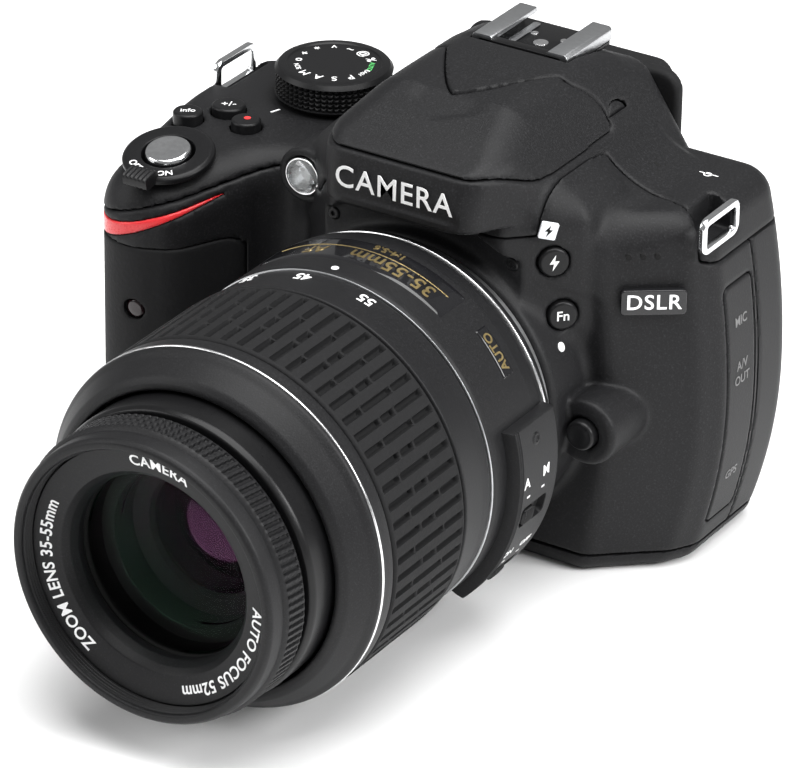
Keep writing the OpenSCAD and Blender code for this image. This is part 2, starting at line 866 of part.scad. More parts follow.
// Rear glass and the fixed stop in front of it
module rear_optics() {
  color("#9db8c4") {
    along_y(0, axis_z, 12.4, -56, -50.4);
    lens_ring(15.2, 6, -64, -62.8);
    along_y(0, axis_z, 15.2, -71, -66);
  }
}

front_cover();
top_cover();
rear_cover();
bottom_cover();
grip_rubber();
grip_accent();
chassis();
body_mount_ring();
screws();
hinge_pins();
hot_shoe();
front_windows();
strap_lugs();
viewfinder_optics();
tripod_socket();
lcd_window();
image_sensor();
main_board();
shutter_unit();
shutter_curtain();
mirror();
flash_head();
flash_window();
mode_dial();
command_dial();
power_switch();
shutter_button();
record_button();
info_button();
exposure_button();
flash_button();
fn_button();
release_button();
lock_pin();
play_button();
menu_button();
zoom_out_button();
zoom_in_button();
quick_button();
multi_selector();
ok_button();
live_view_button();
delete_button();
ael_button();
port_door();
card_door();
battery_door();
battery();
eyecup();
lens_barrel();
lens_mount();
zoom_ring();
zoom_grip();
inner_barrel();
focus_sleeve();
focus_ring();
front_element();
rear_optics();
focus_switch();
stabiliser_switch();
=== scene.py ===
"""Looks for a compact digital SLR camera: casing, lens, controls and studio."""

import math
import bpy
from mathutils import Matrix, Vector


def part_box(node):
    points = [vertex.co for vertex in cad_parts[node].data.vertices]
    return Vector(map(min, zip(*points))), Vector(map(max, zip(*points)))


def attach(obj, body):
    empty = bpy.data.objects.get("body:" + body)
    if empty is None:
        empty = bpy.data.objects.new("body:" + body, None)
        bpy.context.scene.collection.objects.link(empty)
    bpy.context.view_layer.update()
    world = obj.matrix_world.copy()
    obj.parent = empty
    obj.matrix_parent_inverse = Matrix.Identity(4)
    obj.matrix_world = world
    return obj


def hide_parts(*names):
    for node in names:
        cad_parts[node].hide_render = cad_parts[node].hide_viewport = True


bl_info = {
    "name": "Compact SLR camera",
    "version": (1, 0, 0),
    "blender": (4, 5, 0),
    "location": "View3D > Sidebar > Camera",
    "description": "Builds the casing, lens and controls of a compact SLR camera",
    "category": "Add Mesh",
}

import bmesh
import bpy
import numpy as np
from mathutils import Matrix, Vector

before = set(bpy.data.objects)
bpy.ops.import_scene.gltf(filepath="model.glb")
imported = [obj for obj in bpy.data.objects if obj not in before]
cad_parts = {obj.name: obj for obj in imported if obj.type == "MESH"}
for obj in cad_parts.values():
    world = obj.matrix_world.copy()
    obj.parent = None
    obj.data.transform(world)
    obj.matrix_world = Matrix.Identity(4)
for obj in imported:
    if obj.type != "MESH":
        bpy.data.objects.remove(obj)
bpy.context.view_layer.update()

MM = 0.001
TAU = 2 * math.pi


def box_mm(node):
    """Lowest and highest corners of a CAD node, in millimetres."""
    low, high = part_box(node)
    return np.array(low) / MM, np.array(high) / MM


def middle(node):
    """Centre of a CAD node's box, in millimetres."""
    low, high = box_mm(node)
    return (low + high) / 2


# Places in millimetres: the lens axis, the rear face and the controls
AXIS_Z = middle("body_mount_ring")[2]
REAR_Y = 12.0
LEAN = math.radians(12)
SLOPE_START = -31.0
SHUTTER_AT = (-57.4, -42.4)
SHUTTER_BASE = 73 - (SLOPE_START - SHUTTER_AT[1]) * math.tan(LEAN)
DIAL_AT = (-44.0, -4.0)
COMMAND_AT = (-51.0, 4.6)
PAD_AT = (-44.0, 40.0)
LAMP_AT = (-31.0, 71.0)
WINDOW_AT = (-58.1, 42.4)
FLASH_PIVOT = (-4.0, 84.0)


# ---- meshes ----


def grid_quads(rows, columns, wrap_rows=False, wrap_columns=False):
    """Quads that join neighbours of a rows x columns grid, closing it on itself where asked."""
    r = np.arange(rows if wrap_rows else rows - 1)
    c = np.arange(columns if wrap_columns else columns - 1)
    r, c = np.meshgrid(r, c, indexing="ij")
    r2, c2 = (r + 1) % rows, (c + 1) % columns
    quads = np.stack([r * columns + c, r2 * columns + c, r2 * columns + c2, r * columns + c2], -1)
    return quads.reshape(-1, 4)


def mesh_piece(name, points, quads, tidy=True, sharp=38):
    """Object from points in millimetres and quads; doubles are merged and normals turned outwards."""
    mesh = bpy.data.meshes.new(name)
    mesh.vertices.add(len(points))
    mesh.vertices.foreach_set("co", (np.asarray(points, np.float32) * MM).ravel())
    mesh.loops.add(quads.size)
    mesh.loops.foreach_set("vertex_index", quads.astype(np.int32).ravel())
    mesh.polygons.add(len(quads))
    mesh.polygons.foreach_set("loop_start", np.arange(0, quads.size, 4, dtype=np.int32))
    mesh.update(calc_edges=True)
    mesh.validate()
    if tidy:
        work = bmesh.new()
        work.from_mesh(mesh)
        bmesh.ops.remove_doubles(work, verts=work.verts, dist=2e-6)
        bmesh.ops.recalc_face_normals(work, faces=work.faces)
        work.to_mesh(mesh)
        work.free()
    mesh.shade_smooth()
    mesh.set_sharp_from_angle(angle=math.radians(sharp))
    piece = bpy.data.objects.new(name, mesh)
    bpy.context.scene.collection.objects.link(piece)
    return piece


def dress(piece, body, material, replaces=()):
    """Rides a piece on its body, gives it a material and hides the CAD parts that it replaces."""
    if material is not None:
        piece.data.materials.clear()
        piece.data.materials.append(material)
    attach(piece, body)
    if replaces:
        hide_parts(*replaces)
    return piece


def soften(profile, radius, steps=3, closed=True):
    """Profile with each corner swapped for a short quadratic curve of about the given radius."""
    points = [np.array(p, float) for p in profile]
    count = len(points)
    result = []
    for i, corner in enumerate(points):
        if not closed and i in (0, count - 1):
            result.append(corner)
            continue
        before, after = points[i - 1], points[(i + 1) % count]
        a = before - corner
        b = after - corner
        la, lb = np.hypot(*a), np.hypot(*b)
        start = corner + a / la * min(radius, la * 0.45)
        end = corner + b / lb * min(radius, lb * 0.45)
        for t in np.linspace(0, 1, steps + 1):
            result.append((1 - t) ** 2 * start + 2 * t * (1 - t) * corner + t * t * end)
    return np.array(result)


def place_lens(radius, turn, along):
    """Point at a radius and turn about the lens axis; along is its Y value."""
    parts = np.broadcast_arrays(radius * np.cos(turn), along, AXIS_Z + radius * np.sin(turn))
    return np.stack(parts, -1)


def lens_turned(name, profile, radius=0.3, segments=192, closed=True, sharp=38):
    """Profile of [radius, y] points, softened at its corners and turned about the lens axis."""
    line = soften(profile, radius, closed=closed)
    turn = np.linspace(0, TAU, segments, endpoint=False)
    r, t = np.meshgrid(line[:, 0], turn, indexing="ij")
    y = np.repeat(line[:, 1][:, None], segments, axis=1)
    points = place_lens(r, t, y).reshape(-1, 3)
    return mesh_piece(name, points, grid_quads(len(line), segments, closed, True), sharp=sharp)


def lens_sector(piece, low, high):
    """Keeps the part of a turned ring between two angles about the lens axis, in degrees."""
    work = bmesh.new()
    work.from_mesh(piece.data)
    for angle, side in ((low, -1), (high, 1)):
        a = math.radians(angle)
        normal = Vector((-math.sin(a), 0, math.cos(a))) * side
        cut = bmesh.ops.bisect_plane(work, geom=work.verts[:] + work.edges[:] + work.faces[:], dist=1e-7,
                                     plane_co=(0, 0, AXIS_Z * MM), plane_no=normal, clear_outer=True)
        rim = [e for e in cut["geom_cut"] if isinstance(e, bmesh.types.BMEdge)]
        bmesh.ops.holes_fill(work, edges=rim)
    work.to_mesh(piece.data)
    work.free()
    return piece


def lens_sheet(name, outer, inner, turn, along):
    """Closed shell round the lens axis between two radii, both given on a grid of turn and Y."""
    rows, columns = turn.shape
    faces = grid_quads(rows, columns)
    index = np.arange(rows * columns).reshape(rows, columns)
    rim = np.concatenate([index[0, :-1], index[:-1, -1], index[-1, :0:-1], index[:0:-1, 0]])
    after = np.roll(rim, -1)
    side = np.stack([rim, after, after + rows * columns, rim + rows * columns], -1)
    points = np.concatenate([place_lens(r, turn, along).reshape(-1, 3) for r in (outer, inner)])
    return mesh_piece(name, points, np.concatenate([faces, faces[:, ::-1] + rows * columns, side]))


def turned(name, profile, centre, direction=(0, 0, 1), radius=0.2, segments=64, shape=None, sharp=38):
    """Solid of revolution: [radius, height] points from pole to pole, turned about direction at centre."""
    line = soften(profile, radius, closed=False)
    turn = np.linspace(0, TAU, segments, endpoint=False)
    r, t = np.meshgrid(line[:, 0], turn, indexing="ij")
    h = np.repeat(line[:, 1][:, None], segments, axis=1)
    local = np.stack([r * np.cos(t), r * np.sin(t), h], -1)
    if shape is not None:
        local = shape(local)
    points = local.reshape(-1, 3) @ upright(direction).T + np.asarray(centre, float)
    return mesh_piece(name, points, grid_quads(len(line), segments, False, True), sharp=sharp)


def upright(direction):
    """3x3 turn whose columns are right, up and the given direction, with up as near +Z or +Y as it can be."""
    z = np.array(direction, float)
    z /= np.linalg.norm(z)
    guide = np.array([0, 0, 1.0]) if abs(z[2]) < 0.8 else np.array([0, 1.0, 0])
    x = np.cross(guide, z)
    x /= np.linalg.norm(x)
    return np.stack([x, np.cross(z, x), z], 1)


def rounded_outline(width, height, radius, steps=6):
    """Closed outline of a rectangle with round corners, centred on the origin."""
    points = []
    for sx, sy, start in ((1, 1, 0), (-1, 1, 90), (-1, -1, 180), (1, -1, 270)):
        for t in np.radians(np.linspace(start, start + 90, steps)):
            points.append([sx * (width / 2 - radius) + radius * math.cos(t),
                           sy * (height / 2 - radius) + radius * math.sin(t)])
    return np.array(points)


def slab_piece(name, outline, low, high, centre, direction, bevel=0.3, hole=None):
    """Plate: an outline carried along a direction with a small round at both faces.

    Each ring of the plate is the outline pulled in towards its middle by the bevel's quarter circle.
    With a hole outline of as many points, the rings run back through the hole instead of closing.
    """
    outline = np.asarray(outline, float)
    rings = []
    for t in np.linspace(0, math.pi / 2, 4):
        rings.append((bevel * (1 - math.sin(t)), low + bevel * (1 - math.cos(t))))
    for t in np.linspace(math.pi / 2, 0, 4):
        rings.append((bevel * (1 - math.sin(t)), high - bevel * (1 - math.cos(t))))
    extent = np.abs(outline).max(axis=0)
    layers = []
    for inset, level in rings:
        scale = 1 - inset / extent
        layers.append(np.column_stack([outline * scale, np.full(len(outline), level)]))
    if hole is None:
        layers.insert(0, np.column_stack([outline * 0, np.full(len(outline), low)]))
        layers.append(np.column_stack([outline * 0, np.full(len(outline), high)]))
    else:
        hole = np.asarray(hole, float)
        layers.append(np.column_stack([hole * 1.02, np.full(len(outline), high)]))
        layers.append(np.column_stack([hole, np.full(len(outline), high - bevel)]))
        layers.append(np.column_stack([hole, np.full(len(outline), low + bevel)]))
        layers.append(np.column_stack([hole * 1.02, np.full(len(outline), low)]))
    local = np.array(layers)
    points = local.reshape(-1, 3) @ upright(direction).T + np.asarray(centre, float)
    return mesh_piece(name, points, grid_quads(len(layers), len(outline), hole is not None, True))


def joined(name, pieces):
    """One object from several, for groups of like pieces."""
    work = bmesh.new()
    for piece in pieces:
        work.from_mesh(piece.data)
        mesh = piece.data
        bpy.data.objects.remove(piece)
        bpy.data.meshes.remove(mesh)
    mesh = bpy.data.meshes.new(name)
    work.to_mesh(mesh)
    work.free()
    mesh.shade_smooth()
    mesh.set_sharp_from_angle(angle=math.radians(38))
    result = bpy.data.objects.new(name, mesh)
    bpy.context.scene.collection.objects.link(result)
    return result


def lettering(name, text, size, place, body, material, depth=0.05, weight=0.0, spacing=1.0, stretch=1.0):
    """Text turned into a thin mesh, with each point put on its surface by place(right, up, out)."""
    curve = bpy.data.curves.new(name, "FONT")
    curve.body = text
    curve.size = size * 1.4
    curve.align_x = "CENTER"
    curve.align_y = "CENTER"
    curve.extrude = depth
    curve.offset = weight
    curve.space_character = spacing
    curve.resolution_u = 4
    maker = bpy.data.objects.new(name, curve)
    bpy.context.scene.collection.objects.link(maker)
    bpy.context.view_layer.update()
    mesh = bpy.data.meshes.new_from_object(maker.evaluated_get(bpy.context.evaluated_depsgraph_get()))
    bpy.data.objects.remove(maker)
    flat = np.empty(len(mesh.vertices) * 3, np.float32)
    mesh.vertices.foreach_get("co", flat)
    flat = flat.reshape(-1, 3)
    points = place(flat[:, 0] * stretch, flat[:, 1], flat[:, 2])
    mesh.vertices.foreach_set("co", (points * MM).astype(np.float32).ravel())
    mesh.materials.clear()
    mesh.update()
    piece = bpy.data.objects.new(name, mesh)
    bpy.context.scene.collection.objects.link(piece)
    return dress(piece, body, material)


def on_plane(centre, direction, turn=0.0):
    """Placement on a flat face, with text upright and turned about the face's normal."""
    basis = upright(direction)
    c, s = math.cos(turn), math.sin(turn)

    def place(right, up, out):
        local = np.stack([c * right - s * up, s * right + c * up, out], -1)
        return local @ basis.T + np.asarray(centre, float)

    return place


def on_barrel(radius, angle, along):
    """Placement round the barrel for text that is read from behind: up runs towards the front."""

    def place(right, up, out):
        turn = angle + right / radius
        return place_lens(radius + out, turn, along - up)

    return place


# ---- fields for the casing ----


def meet(a, b, radius):
    """Field of the space inside both a and b, with a round of the given radius where they meet."""
    outside = np.hypot(np.maximum(a + radius, 0), np.maximum(b + radius, 0))
    return outside + np.minimum(np.maximum(a, b) + radius, 0) - radius


def join(a, b, radius):
    """Field of the space inside either a or b, with a hollow fillet where they meet."""
    return -meet(-a, -b, radius)


def face(x, y, z, normal, point):
    """Signed distance from a plane through point, positive on the normal's side."""
    n = np.array(normal, float)
    n /= np.linalg.norm(n)
    return n[0] * (x - point[0]) + n[1] * (y - point[1]) + n[2] * (z - point[2])


def outline_field(x, y, points):
    """Signed distance in a plane from a closed polygon, negative inside."""
    points = np.asarray(points, float)
    nearest = np.full(np.broadcast(x, y).shape, 1e9)
    inside = np.zeros(nearest.shape, bool)
    for a, b in zip(points, np.roll(points, -1, axis=0)):
        edge = b - a
        px, py = x - a[0], y - a[1]
        t = np.clip((px * edge[0] + py * edge[1]) / (edge @ edge), 0, 1)
        nearest = np.minimum(nearest, (px - edge[0] * t) ** 2 + (py - edge[1] * t) ** 2)
        crosses = ((a[1] > y) != (b[1] > y)) & (x < edge[0] * (y - a[1]) / (edge[1] + 1e-12) + a[0])
        inside ^= crosses
    return np.where(inside, -1, 1) * np.sqrt(nearest)


def ease(value, low, high):
    """Smooth step from 0 below low to 1 above high."""
    t = np.clip((value - low) / (high - low), 0, 1)
    return t * t * (3 - 2 * t)


def axes(low, high, step):
    """Open grid of X, Y and Z values that covers a box."""
    lines = [np.arange(a, b + step, step) for a, b in zip(low, high)]
    x, y, z = lines
    return x[:, None, None], y[None, :, None], z[None, None, :]


def net(name, field, low, step):
    """Closed mesh of a field's zero surface.

    Every grid cell that the surface passes through gets one point, at the mean of the places where
    it crosses the cell's edges, and each crossed grid edge joins its four cells with a quad.
    The points then move along the field's slope onto the zero surface.
    """
    low = np.asarray(low, float)
    sign = field < 0
    corners = [(i, j, k) for i in (0, 1) for j in (0, 1) for k in (0, 1)]
    nx, ny, nz = (n - 1 for n in field.shape)
    count = sum(sign[i:nx + i, j:ny + j, k:nz + k].astype(np.int8) for i, j, k in corners)
    mixed = (count > 0) & (count < 8)
    cells = np.argwhere(mixed)
    index = np.full(mixed.shape, -1, np.int64)
    index[mixed] = np.arange(len(cells))
    values = [field[cells[:, 0] + i, cells[:, 1] + j, cells[:, 2] + k] for i, j, k in corners]
    total = np.zeros((len(cells), 3))
    hits = np.zeros(len(cells))
    for m, a in enumerate(corners):
        for n, b in enumerate(corners):
            if n <= m or sum(abs(p - q) for p, q in zip(a, b)) != 1:
                continue
            crossed = (values[m] < 0) != (values[n] < 0)
            t = np.where(crossed, values[m] / (values[m] - values[n] + 1e-20), 0)
            spot = np.array(a) + t[:, None] * (np.array(b) - np.array(a))
            total += spot * crossed[:, None]
            hits += crossed
    points = cells + total / hits[:, None]
    points = settle(field, points)
    quads = []
    for axis in range(3):
        u, v = (axis + 1) % 3, (axis + 2) % 3
        lo = [slice(1, -1)] * 3
        lo[axis] = slice(0, -1)
        hi = list(lo)
        hi[axis] = slice(1, None)
        change = sign[tuple(lo)] != sign[tuple(hi)]
        at = np.argwhere(change)
        for other in (u, v):
            at[:, other] += 1
        rising = sign[tuple(at.T)]
        ring = []
        for du, dv in ((-1, -1), (0, -1), (0, 0), (-1, 0)):
            cell = at.copy()
            cell[:, u] += du
            cell[:, v] += dv
            ring.append(index[tuple(cell.T)])
        ring = np.stack(ring, -1)
        ring[~rising] = ring[~rising][:, ::-1]
        quads.append(ring)
    quads = np.concatenate(quads)
    return mesh_piece(name, low + points * step, quads, tidy=False, sharp=50)


def settle(field, points, rounds=2):
    """Moves points onto the zero surface along the slope of the trilinearly read field."""
    limit = np.array(field.shape) - 1.001

    def read(p):
        p = np.clip(p, 0, limit)
        base = p.astype(int)
        f = p - base
        value = 0
        for i in (0, 1):
            for j in (0, 1):
                for k in (0, 1):
                    weight = ((f[:, 0] if i else 1 - f[:, 0]) * (f[:, 1] if j else 1 - f[:, 1])
                              * (f[:, 2] if k else 1 - f[:, 2]))
                    value = value + weight * field[base[:, 0] + i, base[:, 1] + j, base[:, 2] + k]
        return value

    for _ in range(rounds):
        slope = np.stack([read(points + d) - read(points - d) for d in np.eye(3) * 0.5], -1)
        size = np.maximum((slope ** 2).sum(-1), 1e-6)
        move = slope * (read(points) / size)[:, None]
        points = points - np.clip(move, -0.5, 0.5)
    return points


# ---- materials ----


def new_material(name):
    """Empty material with a Principled shader, and its node tree."""
    material = bpy.data.materials.new(name)
    material.use_nodes = True
    return material, material.node_tree, material.node_tree.nodes["Principled BSDF"]


def noise_of(tree, scale, detail=3.0, roughness=0.55):
    """Noise on Object coordinates; scale is in turns per metre."""
    where = tree.nodes.new("ShaderNodeTexCoord")
    noise = tree.nodes.new("ShaderNodeTexNoise")
    noise.inputs["Scale"].default_value = scale
    noise.inputs["Detail"].default_value = detail
    noise.inputs["Roughness"].default_value = roughness
    tree.links.new(where.outputs["Object"], noise.inputs["Vector"])
    return noise


def ramp_of(tree, source, stops, target):
    """Colour ramp from a value into a socket; stops are (position, colour) pairs."""
    ramp = tree.nodes.new("ShaderNodeValToRGB")
    tree.links.new(source, ramp.inputs["Fac"])
    points = ramp.color_ramp.elements
    points[0].position, points[0].color = stops[0][0], (*stops[0][1], 1)
    points[1].position, points[1].color = stops[-1][0], (*stops[-1][1], 1)
    for position, colour in stops[1:-1]:
        points.new(position).color = (*colour, 1)
    tree.links.new(ramp.outputs["Color"], target)


def gloss_of(tree, shader, source, low, high):
    """Roughness that runs from low to high with a value."""
    gloss = tree.nodes.new("ShaderNodeMapRange")
    gloss.inputs["To Min"].default_value = low
    gloss.inputs["To Max"].default_value = high
    tree.links.new(source, gloss.inputs["Value"])
    tree.links.new(gloss.outputs["Result"], shader.inputs["Roughness"])


def bump_of(tree, shader, source, strength, distance):
    """Fine relief on a shader from a value; distance is in metres."""
    bump = tree.nodes.new("ShaderNodeBump")
    bump.inputs["Strength"].default_value = strength
    bump.inputs["Distance"].default_value = distance
    tree.links.new(source, bump.inputs["Height"])
    tree.links.new(bump.outputs["Normal"], shader.inputs["Normal"])


def scaled(colour, k):
    """Colour made lighter or darker by a factor."""
    return tuple(c * k for c in colour)


def plastic(name, colour, rough, grain=2600.0, speck=1.0, relief=0.25, shine=0.2, coat=0.0):
    """Moulded plastic with a fine grain: light specks, an uneven gloss and a little relief."""
    material, tree, shader = new_material(name)
    colour = tuple(colour)[:3]
    noise = noise_of(tree, grain)
    ramp_of(tree, noise.outputs["Fac"], [
        (0.3, scaled(colour, 1 - 0.28 * speck)), (0.55, colour), (0.76, scaled(colour, 1 + 1.5 * speck)),
    ], shader.inputs["Base Color"])
    gloss_of(tree, shader, noise.outputs["Fac"], max(rough - 0.07, 0.03), min(rough + 0.09, 1.0))
    shader.inputs["Specular IOR Level"].default_value = shine
    shader.inputs["Coat Weight"].default_value = coat
    if relief:
        bump_of(tree, shader, noise.outputs["Fac"], relief, 0.00012)
    return material


def metal(name, colour, rough, brushed=(1.0, 1.0, 1.0)):
    """Metal with faint brushing; brushed stretches the noise along an axis."""
    material, tree, shader = new_material(name)
    colour = tuple(colour)[:3]
    where = tree.nodes.new("ShaderNodeTexCoord")
    stretch = tree.nodes.new("ShaderNodeMapping")
    stretch.inputs["Scale"].default_value = brushed
    noise = tree.nodes.new("ShaderNodeTexNoise")
    noise.inputs["Scale"].default_value = 900.0
    noise.inputs["Detail"].default_value = 4.0
    tree.links.new(where.outputs["Object"], stretch.inputs["Vector"])
    tree.links.new(stretch.outputs["Vector"], noise.inputs["Vector"])
    stops = [(0.25, scaled(colour, 0.86)), (0.75, colour)]
    ramp_of(tree, noise.outputs["Fac"], stops, shader.inputs["Base Color"])
    gloss_of(tree, shader, noise.outputs["Fac"], rough * 0.8, rough * 1.3)
    shader.inputs["Metallic"].default_value = 1.0
    bump_of(tree, shader, noise.outputs["Fac"], 0.06, 0.00005)
    return material


def glass(name, colour, rough=0.04, see_through=0.9, sheen=None):
    """Clear moulding: transmission with a faint unevenness in its gloss and an optional coated sheen."""
    material, tree, shader = new_material(name)
    colour = tuple(colour)[:3]
    noise = noise_of(tree, 300.0, 2.0)
    stops = [(0.3, scaled(colour, 0.93)), (0.7, colour)]
    ramp_of(tree, noise.outputs["Fac"], stops, shader.inputs["Base Color"])
    gloss_of(tree, shader, noise.outputs["Fac"], rough * 0.6, rough * 1.4)
    shader.inputs["Transmission Weight"].default_value = see_through
    if sheen:
        shader.inputs["Specular Tint"].default_value = (*sheen, 1)
    return material


def coating(name, colour, strength):
    """Coated lens surface: clear face on, with a tinted mirror image that grows towards the edge.

    The tint drifts slowly with place, as an uneven coating does.
    """
    material = bpy.data.materials.new(name)
    material.use_nodes = True
    tree = material.node_tree
    tree.nodes.clear()
    output = tree.nodes.new("ShaderNodeOutputMaterial")
    mix = tree.nodes.new("ShaderNodeMixShader")
    clear = tree.nodes.new("ShaderNodeBsdfTransparent")
    mirror = tree.nodes.new("ShaderNodeBsdfGlossy")
    mirror.inputs["Roughness"].default_value = 0.035
    noise = noise_of(tree, 60.0, 1.0)
    ramp_of(tree, noise.outputs["Fac"], [(0.35, scaled(colour, 0.75)), (0.65, colour)],
            mirror.inputs["Color"])
    weight = tree.nodes.new("ShaderNodeLayerWeight")
    weight.inputs["Blend"].default_value = strength
    tree.links.new(weight.outputs["Fresnel"], mix.inputs["Fac"])
    tree.links.new(clear.outputs["BSDF"], mix.inputs[1])
    tree.links.new(mirror.outputs["BSDF"], mix.inputs[2])
    tree.links.new(mix.outputs["Shader"], output.inputs["Surface"])
    return material


def paint(name, colour, rough=0.45):
    """Printed ink or label: flat colour with a trace of unevenness."""
    material, tree, shader = new_material(name)
    colour = tuple(colour)[:3]
    noise = noise_of(tree, 1800.0, 2.0)
    stops = [(0.3, scaled(colour, 0.92)), (0.7, colour)]
    ramp_of(tree, noise.outputs["Fac"], stops, shader.inputs["Base Color"])
    shader.inputs["Roughness"].default_value = rough
    return material


# ---- properties ----


class CameraCasing(bpy.types.PropertyGroup):
    """Sizes of the casing."""

    wall: bpy.props.FloatProperty(
        name="Wall", description="Thickness of the casing", default=0.002, unit="LENGTH")
    seam: bpy.props.FloatProperty(
        name="Seam", description="Half the width of the gap between two covers", default=0.00012,
        unit="LENGTH")
    step: bpy.props.FloatProperty(
        name="Step", description="Grid spacing of the casing's surface", default=0.0006, unit="LENGTH")
    shoulder: bpy.props.FloatProperty(
        name="Shoulder", description="Height of the right shoulder", default=0.0761, unit="LENGTH")
    plate: bpy.props.FloatProperty(
        name="Left plate", description="Height of the plate under the mode dial", default=0.073,
        unit="LENGTH")


class CameraLens(bpy.types.PropertyGroup):
    """Sizes of the lens details."""

    grooves: bpy.props.IntProperty(
        name="Grooves", description="Number of grooves round the zoom rubber", default=64, min=12, max=120)
    knurls: bpy.props.IntProperty(
        name="Knurls", description="Number of ribs round the focus ring", default=120, min=24, max=240)
    groove_depth: bpy.props.FloatProperty(
        name="Groove depth", description="Depth of the grooves in the zoom rubber", default=0.0013,
        unit="LENGTH")
    threads: bpy.props.IntProperty(
        name="Threads", description="Turns of the filter thread", default=4, min=2, max=10)


class CameraPaints(bpy.types.PropertyGroup):
    """Colours of the finishes."""

    casing: bpy.props.FloatVectorProperty(
        name="Casing", description="Speckled black plastic", default=(0.0085, 0.0085, 0.0092), size=3,
        subtype="COLOR")
    rubber: bpy.props.FloatVectorProperty(
        name="Rubber", description="Black rubber", default=(0.0075, 0.0075, 0.008), size=3, subtype="COLOR")
    controls: bpy.props.FloatVectorProperty(
        name="Controls", description="Satin black buttons", default=(0.0065, 0.0065, 0.007), size=3,
        subtype="COLOR")
    accent: bpy.props.FloatVectorProperty(
        name="Accent", description="Red trim", default=(0.62, 0.03, 0.035), size=3, subtype="COLOR")
    gold: bpy.props.FloatVectorProperty(
        name="Gold", description="Gold lettering", default=(0.72, 0.55, 0.25), size=3, subtype="COLOR")


def make_finishes(paints):
    """All the materials, by name."""
    return {
        "casing": plastic("casing_black", paints.casing, 0.5, speck=1.0, relief=0.3),
        "rubber": plastic("rubber_black", paints.rubber, 0.72, grain=1500.0, speck=0.35, relief=0.6),
        "grip": plastic("grip_rubber_black", paints.rubber, 0.68, grain=1200.0, speck=0.4, relief=0.9),
        "controls": plastic("control_black", paints.controls, 0.34, speck=0.4, relief=0.08),
        "lens": plastic("lens_black", scaled(paints.casing, 0.95), 0.46, grain=3200.0, speck=0.9, relief=0.2),
        "satin": plastic("satin_black", scaled(paints.controls, 0.8), 0.3, speck=0.2, relief=0.04),
        "matte": plastic("matte_black", (0.006, 0.006, 0.006), 0.75, speck=0.3, relief=0.1),
        "gloss": plastic("gloss_black", (0.008, 0.008, 0.009), 0.12, speck=0.1, relief=0.0, coat=0.5),
        "accent": plastic("accent_red", paints.accent, 0.28, speck=0.1, relief=0.02, coat=0.4),
        "chrome": metal("chrome", (0.78, 0.79, 0.8), 0.14),
        "steel": metal("steel", (0.55, 0.56, 0.57), 0.3, (1.0, 8.0, 1.0)),
        "silver": metal("silver_trim", (0.86, 0.86, 0.87), 0.22),
        "gold": metal("gold", paints.gold, 0.3),
        "brass": metal("brass", (0.6, 0.45, 0.22), 0.35),
        "dark": plastic("dark_frame", (0.02, 0.02, 0.022), 0.55, speck=0.3),
        "board": plastic("board_green", (0.02, 0.14, 0.06), 0.4, speck=0.3, relief=0.1),
        "battery": plastic("battery_grey", (0.09, 0.095, 0.1), 0.5, speck=0.3),
        "window": glass("clear_window", (0.93, 0.95, 0.95)),
        "optics": glass("optical_glass", (0.9, 0.97, 0.95)),
        "infrared": plastic("infrared_window", (0.01, 0.004, 0.005), 0.1, speck=0.2, relief=0.0, coat=0.6),
        "screen": plastic("screen_black", (0.006, 0.006, 0.008), 0.08, speck=0.1, relief=0.0, coat=0.8),
        "sensor": glass("sensor_glass", (0.35, 0.45, 0.6), 0.08, 0.3, (0.7, 0.5, 1.0)),
        "mirror": metal("mirror_silver", (0.92, 0.93, 0.94), 0.03),
        "grey": paint("grey_ink", (0.12, 0.12, 0.12)),
        "white": paint("white_ink", (0.85, 0.85, 0.85)),
        "green": paint("green_ink", (0.1, 0.55, 0.15)),
        "red": paint("red_ink", (0.75, 0.04, 0.04)),
        "sticker": paint("sticker_white", (0.8, 0.82, 0.85), 0.3),
        "coat_green": coating("coating_green", (0.12, 0.3, 0.2), 0.1),
        "coat_magenta": coating("coating_magenta", (0.3, 0.12, 0.26), 0.1),
        "coat_violet": coating("coating_violet", (0.7, 0.25, 0.6), 0.35),
        "coat_amber": coating("coating_amber", (0.95, 0.75, 0.3), 0.55),
    }


FINISH = {}


# ---- casing ----

SLAB_CORE = [[-57.5, 6], [-63.5, 0.5], [-63.5, -25], [33.8, -25], [45.3, -16.2], [47, -13.2], [47, 6]]
GRIP_CORE = [[-59.5, -44.5], [-57.6, -43.6], [-49.2, -26.5], [-49.2, -4], [-59.5, -4]]
BLOCK_CORE = [[-28, -20], [-28, -30.8], [-17.8, -41], [17.8, -41], [28, -30.8], [28, -20]]
HUMP_CORE = [[-49.8, 60], [-49.6, 80.5], [-47.8, 86.6], [-38.6, 90.4], [-30.5, 93.4], [-21.8, 93.6],
             [-5, 93.3], [5, 91.2], [11, 88.4], [11, 60]]
BROW_LOW = 76.9
CORE_X = 15.4


